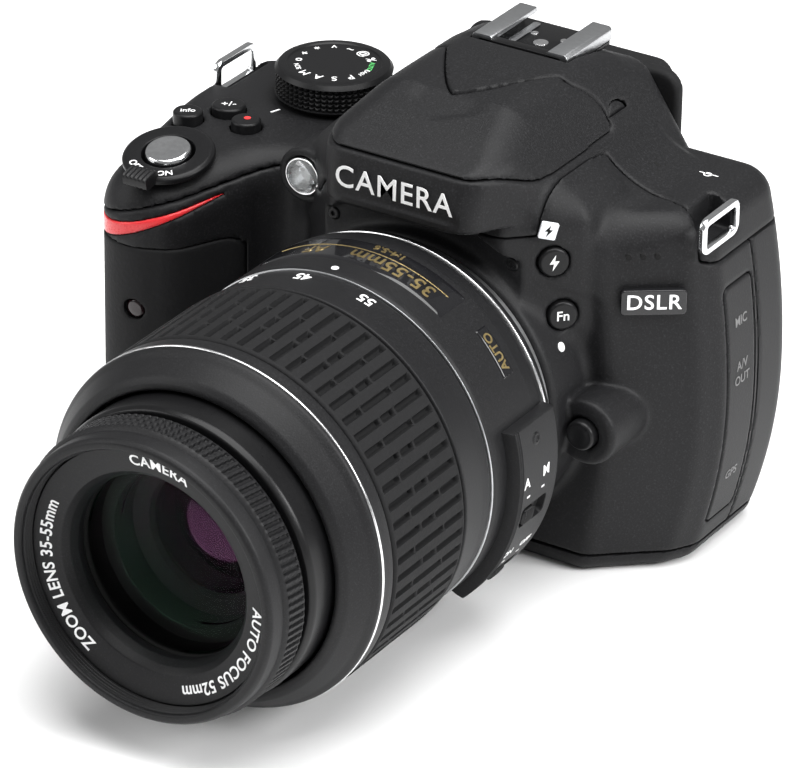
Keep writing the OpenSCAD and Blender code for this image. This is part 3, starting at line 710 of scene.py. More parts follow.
def casing_field(x, y, z, sizes):
    """Outside of the whole casing: body, grip, mount collar, block around the mount, and hump.

    Each part is a plan or profile outline grown by its corner radius and met with its end faces;
    the parts are joined with hollow fillets. The sides bow out with the square of the height.
    """
    middle_z = 36.0
    plate, shoulder = sizes.plate / MM, sizes.shoulder / MM
    lift = (z - middle_z) ** 2
    bow = np.where(z < middle_z, 0.0051, 0.0034) * lift * ease(x, 5, 45) - 0.0012 * lift * ease(-x, 40, 64)
    slab = outline_field(x + bow, y, SLAB_CORE) - 6
    grip = outline_field(x, y, GRIP_CORE) - 10
    plan = join(slab, grip, 4 * ease(x, -62, -50))
    top = z - (plate + (shoulder - plate) * ease(x, -20, 20)) + 0.003 * np.maximum(y - 2, 0) ** 2
    slope = face(x, y, z, (0, -math.sin(LEAN), math.cos(LEAN)), (0, SLOPE_START, plate))
    top = np.where(x < -30, meet(top, slope, 4), top)
    body = meet(meet(plan, top, 4.5 + 3.5 * ease(-y, 16, 34)), -z, 3)
    collar = meet(np.hypot(x, z - AXIS_Z) - 32, -44 - y, 1.6)
    body = join(body, np.maximum(collar, y + 20), 2)
    block = outline_field(x, y, BLOCK_CORE) - 3
    block = meet(meet(block, z - 79.0, 4), 44 - z, 12)
    block = np.maximum(block, -meet(np.hypot(x, z - AXIS_Z) - 38.2, y + 41, 0.5))
    body = join(body, block, 2)
    sides = 0.828 * (np.abs(x) - 26) + 0.561 * (z - 79.2)
    taper = face(np.abs(x), y, z, (0.86, -0.51, 0), (27.5, -31, 0))
    hump = meet(meet(sides, outline_field(y, z, HUMP_CORE) - 2, 4), taper, 3)
    hump = np.maximum(hump, -np.maximum(y + 40.6, z - BROW_LOW))
    radius = 0.3 + 7.7 * ease(y, -42, -30) * ease(-y, -9, -3)
    return join(body, np.maximum(hump, 66.2 - z), radius).astype(np.float32)


def seam_height(x, y):
    """Height of the seam under the top cover: level at the rear, rising in front from grip to block."""
    front = 70 - 0.3 * np.maximum(-x - 37, 0) + 4.5 * ease(x, -26, -22)
    return 66 + (front - 66) * (1 - ease(y, -32, -14))


def front_corner(x, y):
    """Negative where the front cover rises past the seam, ahead of the ridge on the right shoulder."""
    return np.maximum(24 - x, y + 14 + 0.03 * np.maximum(x - 36, 0) ** 2)


def head_zone(x, y, z):
    """Negative where the flash head is: above its seam and ahead of the shield-shaped panel."""
    side = np.abs(x)
    low = 84.2 + 3.2 * ease(-y, 34, 47)
    shield = -30.9 + 17.9 * np.minimum(side / 12.5, 1) ** 1.3 + 5.0 * ease(side, 14, 20)
    zone = meet(low - z, y - shield, 1.5)
    tray = np.maximum(np.maximum(side - 17.2, np.abs(y + 34) - 6.6), np.abs(z - 84) - 4.2)
    ears = np.maximum(np.abs(side - 18.5) - 2.2, rod(y, z, *FLASH_PIVOT, 4))
    zone = np.minimum(np.minimum(zone, tray), ears)
    core = np.maximum(np.maximum(side - CORE_X, z - 90.9), -27.2 - y)
    return np.maximum(zone, -core)


def rubber_zone(x, y, z):
    """Negative in the skin areas that carry rubber: the grip's front and the thumb rest."""
    front = meet(meet(np.abs(z - 32) - 24, x + 43.5, 3), y + 16, 3)
    thumb = meet(meet(np.abs(z - 41) - 15, x + 53.5, 3), 5 - y, 3)
    return np.minimum(front, thumb)


def accent_zone(x, y, z):
    """Negative in the red trim: thick at the far side of the grip, tapering to a tip by the block."""
    across = np.clip((x + 69.5) / 24, 0, 1)
    line = 57.6 + 8.0 * across ** 1.5
    half = 1.9 * (1 - across) ** 0.8 + 0.05
    return np.maximum(np.maximum(np.abs(z - line) - half, x + 45.5), y + 36)


def port_zone(y, z, grow):
    """Negative inside the outline of the port door, grown by a margin."""
    return meet(np.abs(y + 8.6) - 5.2 - grow, np.abs(z - 34.5) - 25.5 - grow, 1.5)


def card_zone(y, z, grow):
    """Negative inside the outline of the card door, grown by a margin."""
    return meet(np.abs(y + 5) - 6.1 - grow, np.abs(z - 39) - 21 - grow, 1.5)


def rod(x, z, at_x, at_z, radius):
    """Distance from a cylinder along the axis that is left out."""
    return np.hypot(x - at_x, z - at_z) - radius


def slanted(x, y, z, at):
    """Right, up and out coordinates of a control on the 45 degree face beside the mount."""
    k = math.sqrt(0.5)
    dx, dy = x - at[0], y - at[1]
    return k * (dx + dy), z - at[2], k * (dx - dy)


def on_slope(x, y, z):
    """Coordinates about the shutter button's leaning axis."""
    dx, dy, dz = x - SHUTTER_AT[0], y - SHUTTER_AT[1], z - SHUTTER_BASE
    return dx, dy * math.cos(LEAN) + dz * math.sin(LEAN), dz * math.cos(LEAN) - dy * math.sin(LEAN)


FLASH_BUTTON = (26.4, -36.6, 69.0)
FN_BUTTON = (27.8, -35.2, 57.5)
RELEASE = (35.5, 36.0)
LOCK_AT = (-31.6, 62.4)
REAR_BUTTONS = [
    ("play_button", 43.6, 60), ("menu_button", 43.6, 49.5), ("zoom_out_button", 43.6, 39),
    ("zoom_in_button", 43.6, 28.5), ("quick_button", 43.6, 18), ("live_view_button", -36.5, 56.5),
    ("delete_button", -44, 20),
]
TOP_BUTTONS = [("record_button", -51, -25, 3.0), ("info_button", -62.8, -28, 3.0),
               ("exposure_button", -57.8, -21, 3.4)]


def deck_spot(x, y):
    """Place on top of the casing above x, y, and the surface's normal there, from the field's slope."""
    sizes = bpy.context.scene.camera_casing
    one = np.ones((1, 1, 1))

    def read(at):
        return float(casing_field(at[0] * one, at[1] * one, at[2] * one, sizes)[0, 0, 0])

    z = np.arange(60, 98, 0.05)[None, None, :]
    inside = casing_field(x * one, y * one, z, sizes)[0, 0] < 0
    spot = np.array([x, y, float(z[0, 0][inside].max())])
    slope = np.array([read(spot + d) - read(spot - d) for d in np.eye(3) * 0.4])
    return spot, slope / np.linalg.norm(slope)


def cover(name, low, high, sizes, cut, step=None):
    """One shell of the casing inside a box.

    cut(x, y, z, outside) gives the solid and its hollow from the casing field, as two fields.
    """
    step = step or sizes.step / MM
    low = np.array(low, float) - step
    x, y, z = (a.astype(np.float32) for a in axes(low, high, step))
    outside = casing_field(x, y, z, sizes)
    return net(name, cut(x, y, z, outside).astype(np.float32), low, step)


class CAMERA_OT_casing(bpy.types.Operator):
    """Front, top, rear and bottom covers, cut from one casing field along their seams"""

    bl_idname = "camera.casing"
    bl_label = "Casing"

    def execute(self, context):
        sizes = context.scene.camera_casing
        gap = sizes.seam / MM
        wall = sizes.wall / MM

        def holes(x, y, z):
            """Negative inside the openings that the covers share: doors, the mount, buttons, the release and
            the infrared window.
            """
            cut = np.maximum(port_zone(y, z, 0.25), 44 - x)
            cut = np.minimum(cut, np.maximum(card_zone(y, z, 0.25), x + 62))
            cut = np.minimum(cut, np.maximum(np.hypot(x, z - AXIS_Z) - 25.5, y + 40))
            for at in (FLASH_BUTTON, FN_BUTTON):
                right, up, out = slanted(x, y, z, at)
                cut = np.minimum(cut, np.maximum(np.hypot(right, up) - 3.2, -out - 4))
            cut = np.minimum(cut, np.maximum(rod(x, z, *RELEASE, 3.3), y + 28))
            cut = np.minimum(cut, np.maximum(rod(x, z, *WINDOW_AT, 2.2), y + 49))
            return cut

        def front(x, y, z, outside):
            boss = meet(rod(x, z, *RELEASE, 6.8), np.maximum(-39.2 - y, y + 26), 1.0)
            shape = join(outside, boss, 0.8)
            solid = meet(shape, np.minimum(z - seam_height(x, y), front_corner(x, y)) + gap, 0.3)
            skin = np.maximum(rubber_zone(x, y, z) - 0.12, -(outside + 1.1))
            red = np.maximum(accent_zone(x, y, z) - 0.12, -(outside + 0.8))
            pocket = np.minimum(np.minimum(skin, red), holes(x, y, z))
            solid = np.maximum(solid, np.maximum(y + 2 + gap, 4 + gap - z))
            return np.maximum(np.maximum(solid, -pocket), -(outside + wall))

        def rear(x, y, z, outside):
            solid = np.maximum(np.maximum(outside, z - 66 + gap), np.maximum(-2 + gap - y, 4 + gap - z))
            skin = np.maximum(rubber_zone(x, y, z) - 0.12, -(outside + 1.1))
            pocket = np.minimum(skin, holes(x, y, z))
            screen = meet(np.abs(x - 5) - 29.8, np.abs(z - 35) - 20.8, 2)
            pocket = np.minimum(pocket, np.maximum(screen, 9 - y))
            for _, px, pz in REAR_BUTTONS:
                pocket = np.minimum(pocket, np.maximum(rod(x, z, px, pz, 3.2), 8 - y))
            pocket = np.minimum(pocket, np.maximum(rod(x, z, *LOCK_AT, 3.2), 8 - y))
            pocket = np.minimum(pocket, np.maximum(rod(x, z, *PAD_AT, 4.5), 8 - y))
            return np.maximum(np.maximum(solid, -pocket), -(outside + wall))

        def bottom(x, y, z, outside):
            solid = np.maximum(outside, z - 4 + gap)
            door = np.maximum(np.abs(x + 56.2) - 8.9, np.abs(y + 29) - 19.4)
            pocket = np.minimum(door, np.hypot(x, y) - 7.05)
            return np.maximum(np.maximum(solid, -pocket), np.minimum(-(outside + wall), z - 2))

        def top(x, y, z, outside):
            seam = np.minimum(z - seam_height(x, y), front_corner(x, y))
            head = head_zone(x, y, z)
            solid = meet(meet(outside, -(head - gap), 0.3), -seam + gap, 0.3)
            bump = meet(rod(x, z, *LAMP_AT, 5.7), np.maximum(-35.2 - y, y + 24), 0.8)
            solid = join(solid, bump, 0.8)
            plate = meet(np.abs(x) - 14.6, np.abs(z - 82.3) - 3.5, 1.4)
            cut = np.maximum(plate, y + 51.2)
            cut = np.minimum(cut, np.maximum(rod(x, z, *LAMP_AT, 4.1), y + 29))
            cut = np.minimum(cut, np.maximum(np.maximum(43 - x, np.abs(y + 14) - 7.4), 69.4 - z))
            cut = np.minimum(cut, np.maximum(np.maximum(x + 63.6, np.abs(y + 5) - 7.4), 69.4 - z))
            cut = np.minimum(cut, np.maximum(rod(x, y, *DIAL_AT, 4.1), 68 - z))
            cut = np.minimum(cut, np.maximum(rod(x, y, *DIAL_AT, 12.3), 72.7 - z))
            for _, px, py, radius in TOP_BUTTONS:
                cut = np.minimum(cut, np.maximum(rod(x, y, px, py, radius) - 0.2, 68 - z))
            sx, sy, sz = on_slope(x, y, z)
            cut = np.minimum(cut, np.maximum(np.hypot(sx, sy) - 6.5, -sz - 6))
            right, up, out = slanted(x, y, z, FLASH_BUTTON)
            cut = np.minimum(cut, np.maximum(np.hypot(right, up) - 3.2, -out - 4))
            cut = np.minimum(cut, np.maximum(np.maximum(np.abs(x) - 11.0, np.abs(y - 3) - 10.2), 92.5 - z))
            cut = np.minimum(cut, np.maximum(np.maximum(np.abs(x + 51) - 9.4, 3 - y), np.abs(z - 69) - 2))
            cut = np.minimum(cut, np.maximum(meet(np.abs(x) - 8.6, np.abs(z - 78) - 6.1, 1), 10 - y))
            cut = np.minimum(cut, np.maximum(rod(y, z, *FLASH_PIVOT, 1.55), np.abs(x) - 20.8))
            hollow = meet(outside, -(head - gap), 0.3) + wall
            floor = np.maximum(np.maximum(np.abs(y + 14) - 9, 41.5 - x), 68 - z)
            floor = np.minimum(floor, np.maximum(np.maximum(np.abs(y + 5) - 9, x + 62), 68 - z))
            hollow = np.maximum(hollow, -floor)
            return np.maximum(np.maximum(solid, -cut), -hollow)

        for name, low, high, cut in (
            ("front_cover", (-70, -56, 4), (54, -1.5, 84), front),
            ("rear_cover", (-70, -2.5, 4), (54, 15, 66.8), rear),
            ("bottom_cover", (-70, -56, 0), (54, 13, 4.5), bottom),
            ("top_cover", (-70, -57, 60), (54, 16, 96), top),
        ):
            piece = cover("Casing." + name, low, high, sizes, cut)
            dress(piece, "camera_body", FINISH["casing"], [name])
        return {"FINISHED"}


class CAMERA_OT_rubber(bpy.types.Operator):
    """Rubber skins on the grip and thumb rest, and the red trim above the grip"""

    bl_idname = "camera.rubber"
    bl_label = "Grip rubber"

    def execute(self, context):
        sizes = context.scene.camera_casing

        def skin(x, y, z, outside):
            hole = np.maximum(rod(x, z, *WINDOW_AT, 2.2), y + 40)
            solid = meet(rubber_zone(x, y, z), outside, 0.4)
            return np.maximum(np.maximum(solid, -(outside + 1.0)), -hole)

        def trim(x, y, z, outside):
            return np.maximum(meet(accent_zone(x, y, z), outside, 0.2), -(outside + 0.7))

        piece = cover("Grip.rubber", (-70, -56, 7.5), (-40, 13, 57), sizes, skin, step=0.5)
        dress(piece, "camera_body", FINISH["grip"], ["grip_rubber"])
        piece = cover("Grip.accent", (-70, -56, 54), (-44, -35, 68), sizes, trim, step=0.3)
        dress(piece, "camera_body", FINISH["accent"], ["grip_accent"])
        return {"FINISHED"}


class CAMERA_OT_flash(bpy.types.Operator):
    """Pop-up flash head, hollow, with its cheeks round the hinge"""

    bl_idname = "camera.flash"
    bl_label = "Flash head"

    def execute(self, context):
        sizes = context.scene.camera_casing
        gap = sizes.seam / MM

        def head(x, y, z, outside):
            crease = 0.3 * ease(y + 39 - 0.5 * np.abs(x), 0, 1.6) * ease(-np.abs(x), -9, -5)
            solid = meet(meet(outside + 0.1 + crease, head_zone(x, y, z) + gap, 0.4), 79.9 - z, 0.3)
            window = np.maximum(np.maximum(np.abs(x) - 16, np.abs(y + 35.5) - 4.5), z - 82.4)
            bore = np.maximum(rod(y, z, *FLASH_PIVOT, 1.58), np.abs(x) - 20.8)
            solid = np.maximum(solid, -window)
            hollow = np.maximum(solid + 1.6, 82 + 1.6 - z)
            return np.maximum(np.maximum(solid, -hollow), -bore)

        piece = cover("Flash.head", (-30, -53, 79), (30, 2, 96), sizes, head, step=0.5)
        dress(piece, "flash_head", FINISH["casing"], ["flash_head"])
        return {"FINISHED"}


class CAMERA_OT_doors(bpy.types.Operator):
    """Port and card doors, cut from the same casing field as their openings"""

    bl_idname = "camera.doors"
    bl_label = "Doors"

    def execute(self, context):
        sizes = context.scene.camera_casing

        def port(x, y, z, outside):
            return np.maximum(meet(outside + 0.05, port_zone(y, z, 0), 0.3), -(outside + 1.6))

        def card(x, y, z, outside):
            return np.maximum(meet(outside + 0.05, card_zone(y, z, 0), 0.3), -(outside + 1.6))

        piece = cover("Door.ports", (46, -15, 8), (54, -2.5, 61), sizes, port, step=0.4)
        dress(piece, "port_door", FINISH["casing"], ["port_door"])
        piece = cover("Door.card", (-70.5, -12, 17), (-64, 2, 61), sizes, card, step=0.4)
        dress(piece, "card_door", FINISH["casing"], ["card_door"])
        return {"FINISHED"}


class CAMERA_OT_eyecup(bpy.types.Operator):
    """Soft eyecup that slides on the ribs behind the finder window"""

    bl_idname = "camera.eyecup"
    bl_label = "Eyecup"

    def execute(self, context):
        step = 0.5
        low = np.array([-25.5, 12, 65.5])
        x, y, z = axes(low, (25.5, 22.6, 89.5), step)
        side = np.abs(x)
        flare = 24.3 - 5.0 * ease(y, 15.5, 17.8)
        tall = 10.4 - 0.9 * ease(y, 15.5, 17.8)
        shape = meet(side - flare, np.abs(z - 77.5) - tall, 4)
        shape = meet(shape, np.abs(y - 17.5) - 4.1, 1.2)
        sink = 9.5 + 3.0 * ease(y, 17.5, 21.6)
        window = meet(side - sink, np.abs(z - 78) - 6.5 - 1.2 * ease(y, 17.5, 21.6), 2)
        groove = np.maximum(np.maximum(np.abs(side - 12.75) - 1.15, y - 15), z - 86.4)
        field = np.maximum(np.maximum(shape, -window), -groove)
        piece = net("Eyecup", field, low, step)
        dress(piece, "eyecup", FINISH["rubber"], ["eyecup"])
        return {"FINISHED"}


def badge(name, outline, at, direction, material, body, thick):
    """Thin flat shape on a face."""
    basis = upright(direction)
    outline = np.array(outline, float)
    mesh = bpy.data.meshes.new(name)
    flat = np.column_stack([outline, np.zeros(len(outline))])
    top = flat + np.array([0, 0, thick])
    points = (np.concatenate([flat, top]) @ basis.T + np.asarray(at, float)) * MM
    count = len(outline)
    faces = [list(range(count))[::-1], list(range(count, 2 * count))]
    faces += [[i, (i + 1) % count, count + (i + 1) % count, count + i] for i in range(count)]
    mesh.from_pydata(points.tolist(), [], faces)
    work = bmesh.new()
    work.from_mesh(mesh)
    bmesh.ops.recalc_face_normals(work, faces=work.faces)
    bmesh.ops.triangulate(work, faces=work.faces)
    work.to_mesh(mesh)
    work.free()
    piece = bpy.data.objects.new(name, mesh)
    bpy.context.scene.collection.objects.link(piece)
    return dress(piece, body, material)


# ---- controls ----


def knurled(radius, depth, count, sharpness=1.0):
    """Shape for a turned piece: ribs round its side, from cosines, where the radius is full."""

    def shape(points):
        r = np.hypot(points[..., 0], points[..., 1])
        turn = np.arctan2(points[..., 1], points[..., 0])
        wave = 0.5 - 0.5 * np.cos(turn * count)
        near = np.clip((r - radius + 0.3) / 0.3, 0, 1)
        k = 1 - near * depth * wave ** sharpness / np.maximum(r, 1)
        result = points.copy()
        result[..., 0] *= k
        result[..., 1] *= k
        return result

    return shape


class CAMERA_OT_mode_dial(bpy.types.Operator):
    """Mode dial: a top plate with letters and icons over a knurled skirt of small pyramids"""

    bl_idname = "camera.mode_dial"
    bl_label = "Mode dial"

    def execute(self, context):
        radius, base, top = 11.85, 73.5, 80.2
        rows, columns = 5, 56
        segments = columns * 6
        skirt = np.linspace(base + 0.7, top - 1.1, rows * 6 + 1)
        profile = [(0, 70.8), (3.9, 70.8), (3.9, base), (radius - 0.6, base), (radius - 0.1, base + 0.5)]
        profile += [(radius, h) for h in skirt]
        profile += [(radius - 0.15, top - 0.9), (radius - 0.7, top - 0.25), (radius - 1.5, top)]
        profile += [(radius - 2.3, top), (radius - 2.6, top - 0.25), (4, top - 0.25), (0, top - 0.25)]
        line = np.array(profile)
        turn = np.linspace(0, TAU, segments, endpoint=False)
        r, t = np.meshgrid(line[:, 0], turn, indexing="ij")
        h = np.repeat(line[:, 1][:, None], segments, axis=1)
        row = (h - skirt[0]) / (skirt[-1] - skirt[0]) * rows
        u = np.abs(((t / TAU * columns) % 1) - 0.5) * 2
        v = np.abs((row % 1) - 0.5) * 2
        on_skirt = (h > skirt[0]) & (h < skirt[-1]) & (r > radius - 0.01)
        r = r - on_skirt * 0.7 * np.clip(np.maximum(u, v), 0.25, 1)
        points = np.stack([DIAL_AT[0] + r * np.cos(t), DIAL_AT[1] + r * np.sin(t), h], -1).reshape(-1, 3)
        piece = mesh_piece("ModeDial", points, grid_quads(len(line), segments, False, True), sharp=30)
        dress(piece, "mode_dial", FINISH["controls"], ["mode_dial"])
        marks = ["AUTO", "EASY", "P", "S", "A", "M", "SCN", "o", "+", "*", "^", "~", "@", "%"]
        for i, mark in enumerate(marks):
            angle = math.radians(20 - i * 360 / len(marks))
            out = 7.4
            at = (DIAL_AT[0] + out * math.cos(angle), DIAL_AT[1] + out * math.sin(angle), top - 0.25)
            size = 1.0 if len(mark) > 1 else 1.9
            ink = FINISH["green"] if i == 0 else FINISH["white"]
            face_up = on_plane(at, (0, 0, 1), angle - math.pi / 2)
            lettering("ModeDial.mark{:02d}".format(i), mark, size, face_up, "mode_dial", ink, 0.04, 0.02)
        return {"FINISHED"}


class CAMERA_OT_top_controls(bpy.types.Operator):
    """Shutter button, power switch, small top buttons and the command dial"""

    bl_idname = "camera.top_controls"
    bl_label = "Top controls"

    def execute(self, context):
        centre = (*SHUTTER_AT, SHUTTER_BASE)
        up = (0, -math.sin(LEAN), math.cos(LEAN))
        button = turned("ShutterButton", [
            (0, -3.4), (4.7, -3.4), (4.7, 1.8), (4.2, 2.6), (2.6, 2.35), (0, 2.2)], centre, up, 0.5)
        dress(button, "shutter_button", FINISH["chrome"], ["shutter_button"])
        self.switch(centre)
        for name, x, y, radius in TOP_BUTTONS:
            low, high = box_mm(name)
            cap = turned("Top." + name, [
                (0, low[2]), (radius + 0.6, low[2]), (radius + 0.6, low[2] + 0.8),
                (radius - 0.02, low[2] + 0.8),
                (radius - 0.02, high[2] - 0.35), (radius - 0.4, high[2]), (0, high[2] - 0.15)],
                (x, y, 0), (0, 0, 1), 0.2)
            dress(cap, name, FINISH["controls"], [name])
        for name, text, size, at, turn, body, ink, weight in (
            ("record", "•", 3.4, (-51, -24.55, 74.0), 0.55, "record_button", "red", 0.1),
            ("info", "info", 1.45, (-62.8, -28, 74.0), 0.55, "info_button", "white", 0.02),
            ("exposure", "+/-", 1.9, (-57.8, -21, 74.0), 0.55, "exposure_button", "white", 0.02),
            ("index", "I", 2.2, (-49.6, -16.9, 73.0), -0.35, "camera_body", "white", 0.05),
        ):
            lettering("Top.{}.mark".format(name), text, size, on_plane(at, (0, 0, 1), turn), body,
                      FINISH[ink],
                      0.05, weight)
        dial = turned("CommandDial", [
            (1.08, 67.4), (8.0, 67.4), (8.75, 67.9), (8.75, 70.0), (8.0, 70.55), (1.08, 70.55)],
            (*COMMAND_AT, 0), (0, 0, 1), 0.25, 180, knurled(8.75, 0.5, 30))
        dress(dial, "command_dial", FINISH["controls"], ["command_dial"])
        return {"FINISHED"}

    def switch(self, centre):
        """Ring round the shutter button with a ribbed lever on the front."""
        segments = 120
        line = soften([(5.35, -4), (6.15, -4), (6.15, 0.2), (9.2, 0.2), (9.2, 1.2), (8.5, 1.75),
                       (5.35, 1.75)], 0.25)
        turn = np.linspace(0, TAU, segments, endpoint=False)
        r, t = np.meshgrid(line[:, 0], turn, indexing="ij")
        h = np.repeat(line[:, 1][:, None], segments, axis=1)
        local = np.stack([r * np.cos(t), r * np.sin(t), h], -1).reshape(-1, 3)
        world = self.lean(local) + np.array(centre)
        ring = mesh_piece("PowerSwitch.ring", world, grid_quads(len(line), segments, True, True))
        u = np.linspace(0, 1, 49)
        v = np.linspace(0, TAU, 41)[:-1]
        uu, vv = np.meshgrid(u, v, indexing="ij")
        rib = 0.22 * (0.5 - 0.5 * np.cos(uu * TAU * 6))
        wide = 3.0 * np.sign(np.cos(vv)) * np.abs(np.cos(vv)) ** 0.35
        high = 1.9 + (1.35 - rib) * np.sign(np.sin(vv)) * np.abs(np.sin(vv)) ** 0.5
        cap = np.clip(np.minimum(uu, 1 - uu) * 48, 0, 1)
        local = np.stack([-2.9 + 5.8 * uu, -9.7 + 0.72 * wide * cap, 1.9 + (high - 1.9) * cap], -1)
        world = self.lean(local.reshape(-1, 3)) + np.array(centre)
        lever = mesh_piece("PowerSwitch.lever", world, grid_quads(len(u), len(v), False, True))
        switch = joined("PowerSwitch", [ring, lever])
        dress(switch, "power_switch", FINISH["controls"], ["power_switch"])
        for word, angle in (("ON", -62), ("OFF", -118)):
            around = self.ring_text(centre, 7.4, math.radians(angle), 1.78)
            lettering("Power." + word, word, 1.5, around, "power_switch", FINISH["white"], 0.04, 0.03)

    def lean(self, local):
        """Turns points from upright to the shutter button's leaning axis."""
        c, s = math.cos(LEAN), math.sin(LEAN)
        x, y, z = local[:, 0], local[:, 1], local[:, 2]
        return np.stack([x, y * c - z * s, y * s + z * c], -1)

    def ring_text(self, centre, radius, angle, height):
        """Placement round the switch's ring, with text up pointing to the button."""

        def place(right, up, out):
            turn = angle + right / radius
            r = radius - up
            local = np.stack([r * np.cos(turn), r * np.sin(turn), height + out], -1)
            return self.lean(local) + np.array(centre)

        return place


class CAMERA_OT_round_buttons(bpy.types.Operator):
    """Rear buttons, the four-way pad, the flash and Fn buttons and the lens release"""

    bl_idname = "camera.round_buttons"
    bl_label = "Round buttons"

    def execute(self, context):
        icons = {"play_button": ">", "menu_button": "MENU", "zoom_out_button": "-", "zoom_in_button": "+",
                 "quick_button": "i", "live_view_button": "Lv", "delete_button": "x"}
        rear = REAR_BUTTONS + [("ael_button", *LOCK_AT)]
        icons["ael_button"] = "AE-L"
        for name, x, z in rear:
            self.cap("Rear." + name, (x, REAR_Y, z), (0, 1, 0), 3.0, 1.2, 4.0, name)
            size = 1.1 if len(icons[name]) > 2 else 2.0
            lettering("Rear." + name + ".mark", icons[name], size, on_plane((x, REAR_Y + 1.14, z), (0, 1, 0)),
                      name, FINISH["white"], 0.04, 0.02)
        pad_at = (PAD_AT[0], REAR_Y, PAD_AT[1])
        pad = turned("Selector", [
            (3.45, -3.6), (4.2, -3.6), (4.2, 1.0), (8.9, 1.0), (8.9, 1.7), (8.0, 2.5), (5.6, 1.9), (3.6, 1.6),
            (3.45, 1.4)], pad_at, (0, 1, 0), 0.3, 96)
        dress(pad, "multi_selector", FINISH["controls"], ["multi_selector"])
        ok = turned("Selector.ok", [(0, -3.4), (3.05, -3.4), (3.05, 2.1), (2.6, 2.35), (0, 2.2)],
                    pad_at, (0, 1, 0), 0.25)
        dress(ok, "ok_button", FINISH["controls"], ["ok_button"])
        lettering("Selector.ok.mark", "OK", 1.7, on_plane((PAD_AT[0], REAR_Y + 2.2, PAD_AT[1]), (0, 1, 0)),
                  "ok_button",
                  FINISH["white"], 0.04, 0.02)
        k = math.sqrt(0.5)
        slant = (k, -k, 0)
        self.cap("Side.flash_button", FLASH_BUTTON, slant, 3.0, 0.9, 3.6, "flash_button")
        self.cap("Side.fn_button", FN_BUTTON, slant, 3.0, 0.9, 3.6, "fn_button")
        at = np.array(FLASH_BUTTON) + 0.86 * np.array(slant)
        bolt = [(0.25, 1.7), (-0.95, -0.2), (-0.1, -0.2), (-0.35, -1.7), (0.95, 0.35), (0.1, 0.35)]
        badge("Side.flash_button.mark", bolt, at, slant, FINISH["white"], "flash_button", 0.05)
        at = np.array(FN_BUTTON) + 0.86 * np.array(slant)
        lettering("Side.fn_button.mark", "Fn", 2.0, on_plane(at, slant), "fn_button", FINISH["white"], 0.04,
                  0.03)
        release = turned("Release.button", [
            (0, 5.5), (3.05, 5.5), (3.05, -1.4), (2.6, -1.9), (1.4, -1.55), (0, -1.4)],
            (RELEASE[0], -39, RELEASE[1]), (0, 1, 0), 0.35)
        link = slab_piece("Release.link", rounded_outline(8.0, 3.2, 0.5), 0, 1.6, (29.8, -35.4, 36),
                          (0, -1, 0), 0.2)
        whole = joined("Release", [release, link])
        dress(whole, "release_button", FINISH["controls"], ["release_button"])
        return {"FINISHED"}

    def cap(self, name, at, direction, radius, out, depth, node):
        """Round button with a softly dished cap and a collar under the casing."""
        shape = turned(name, [
            (0, -depth), (radius + 0.6, -depth), (radius + 0.6, 0.8 - depth), (radius - 0.02, 0.8 - depth),
            (radius - 0.02, out - 0.35), (radius - 0.45, out), (0, out - 0.12)], at, direction, 0.22)
        return dress(shape, node, FINISH["controls"], [node])


# ---- fixtures ----


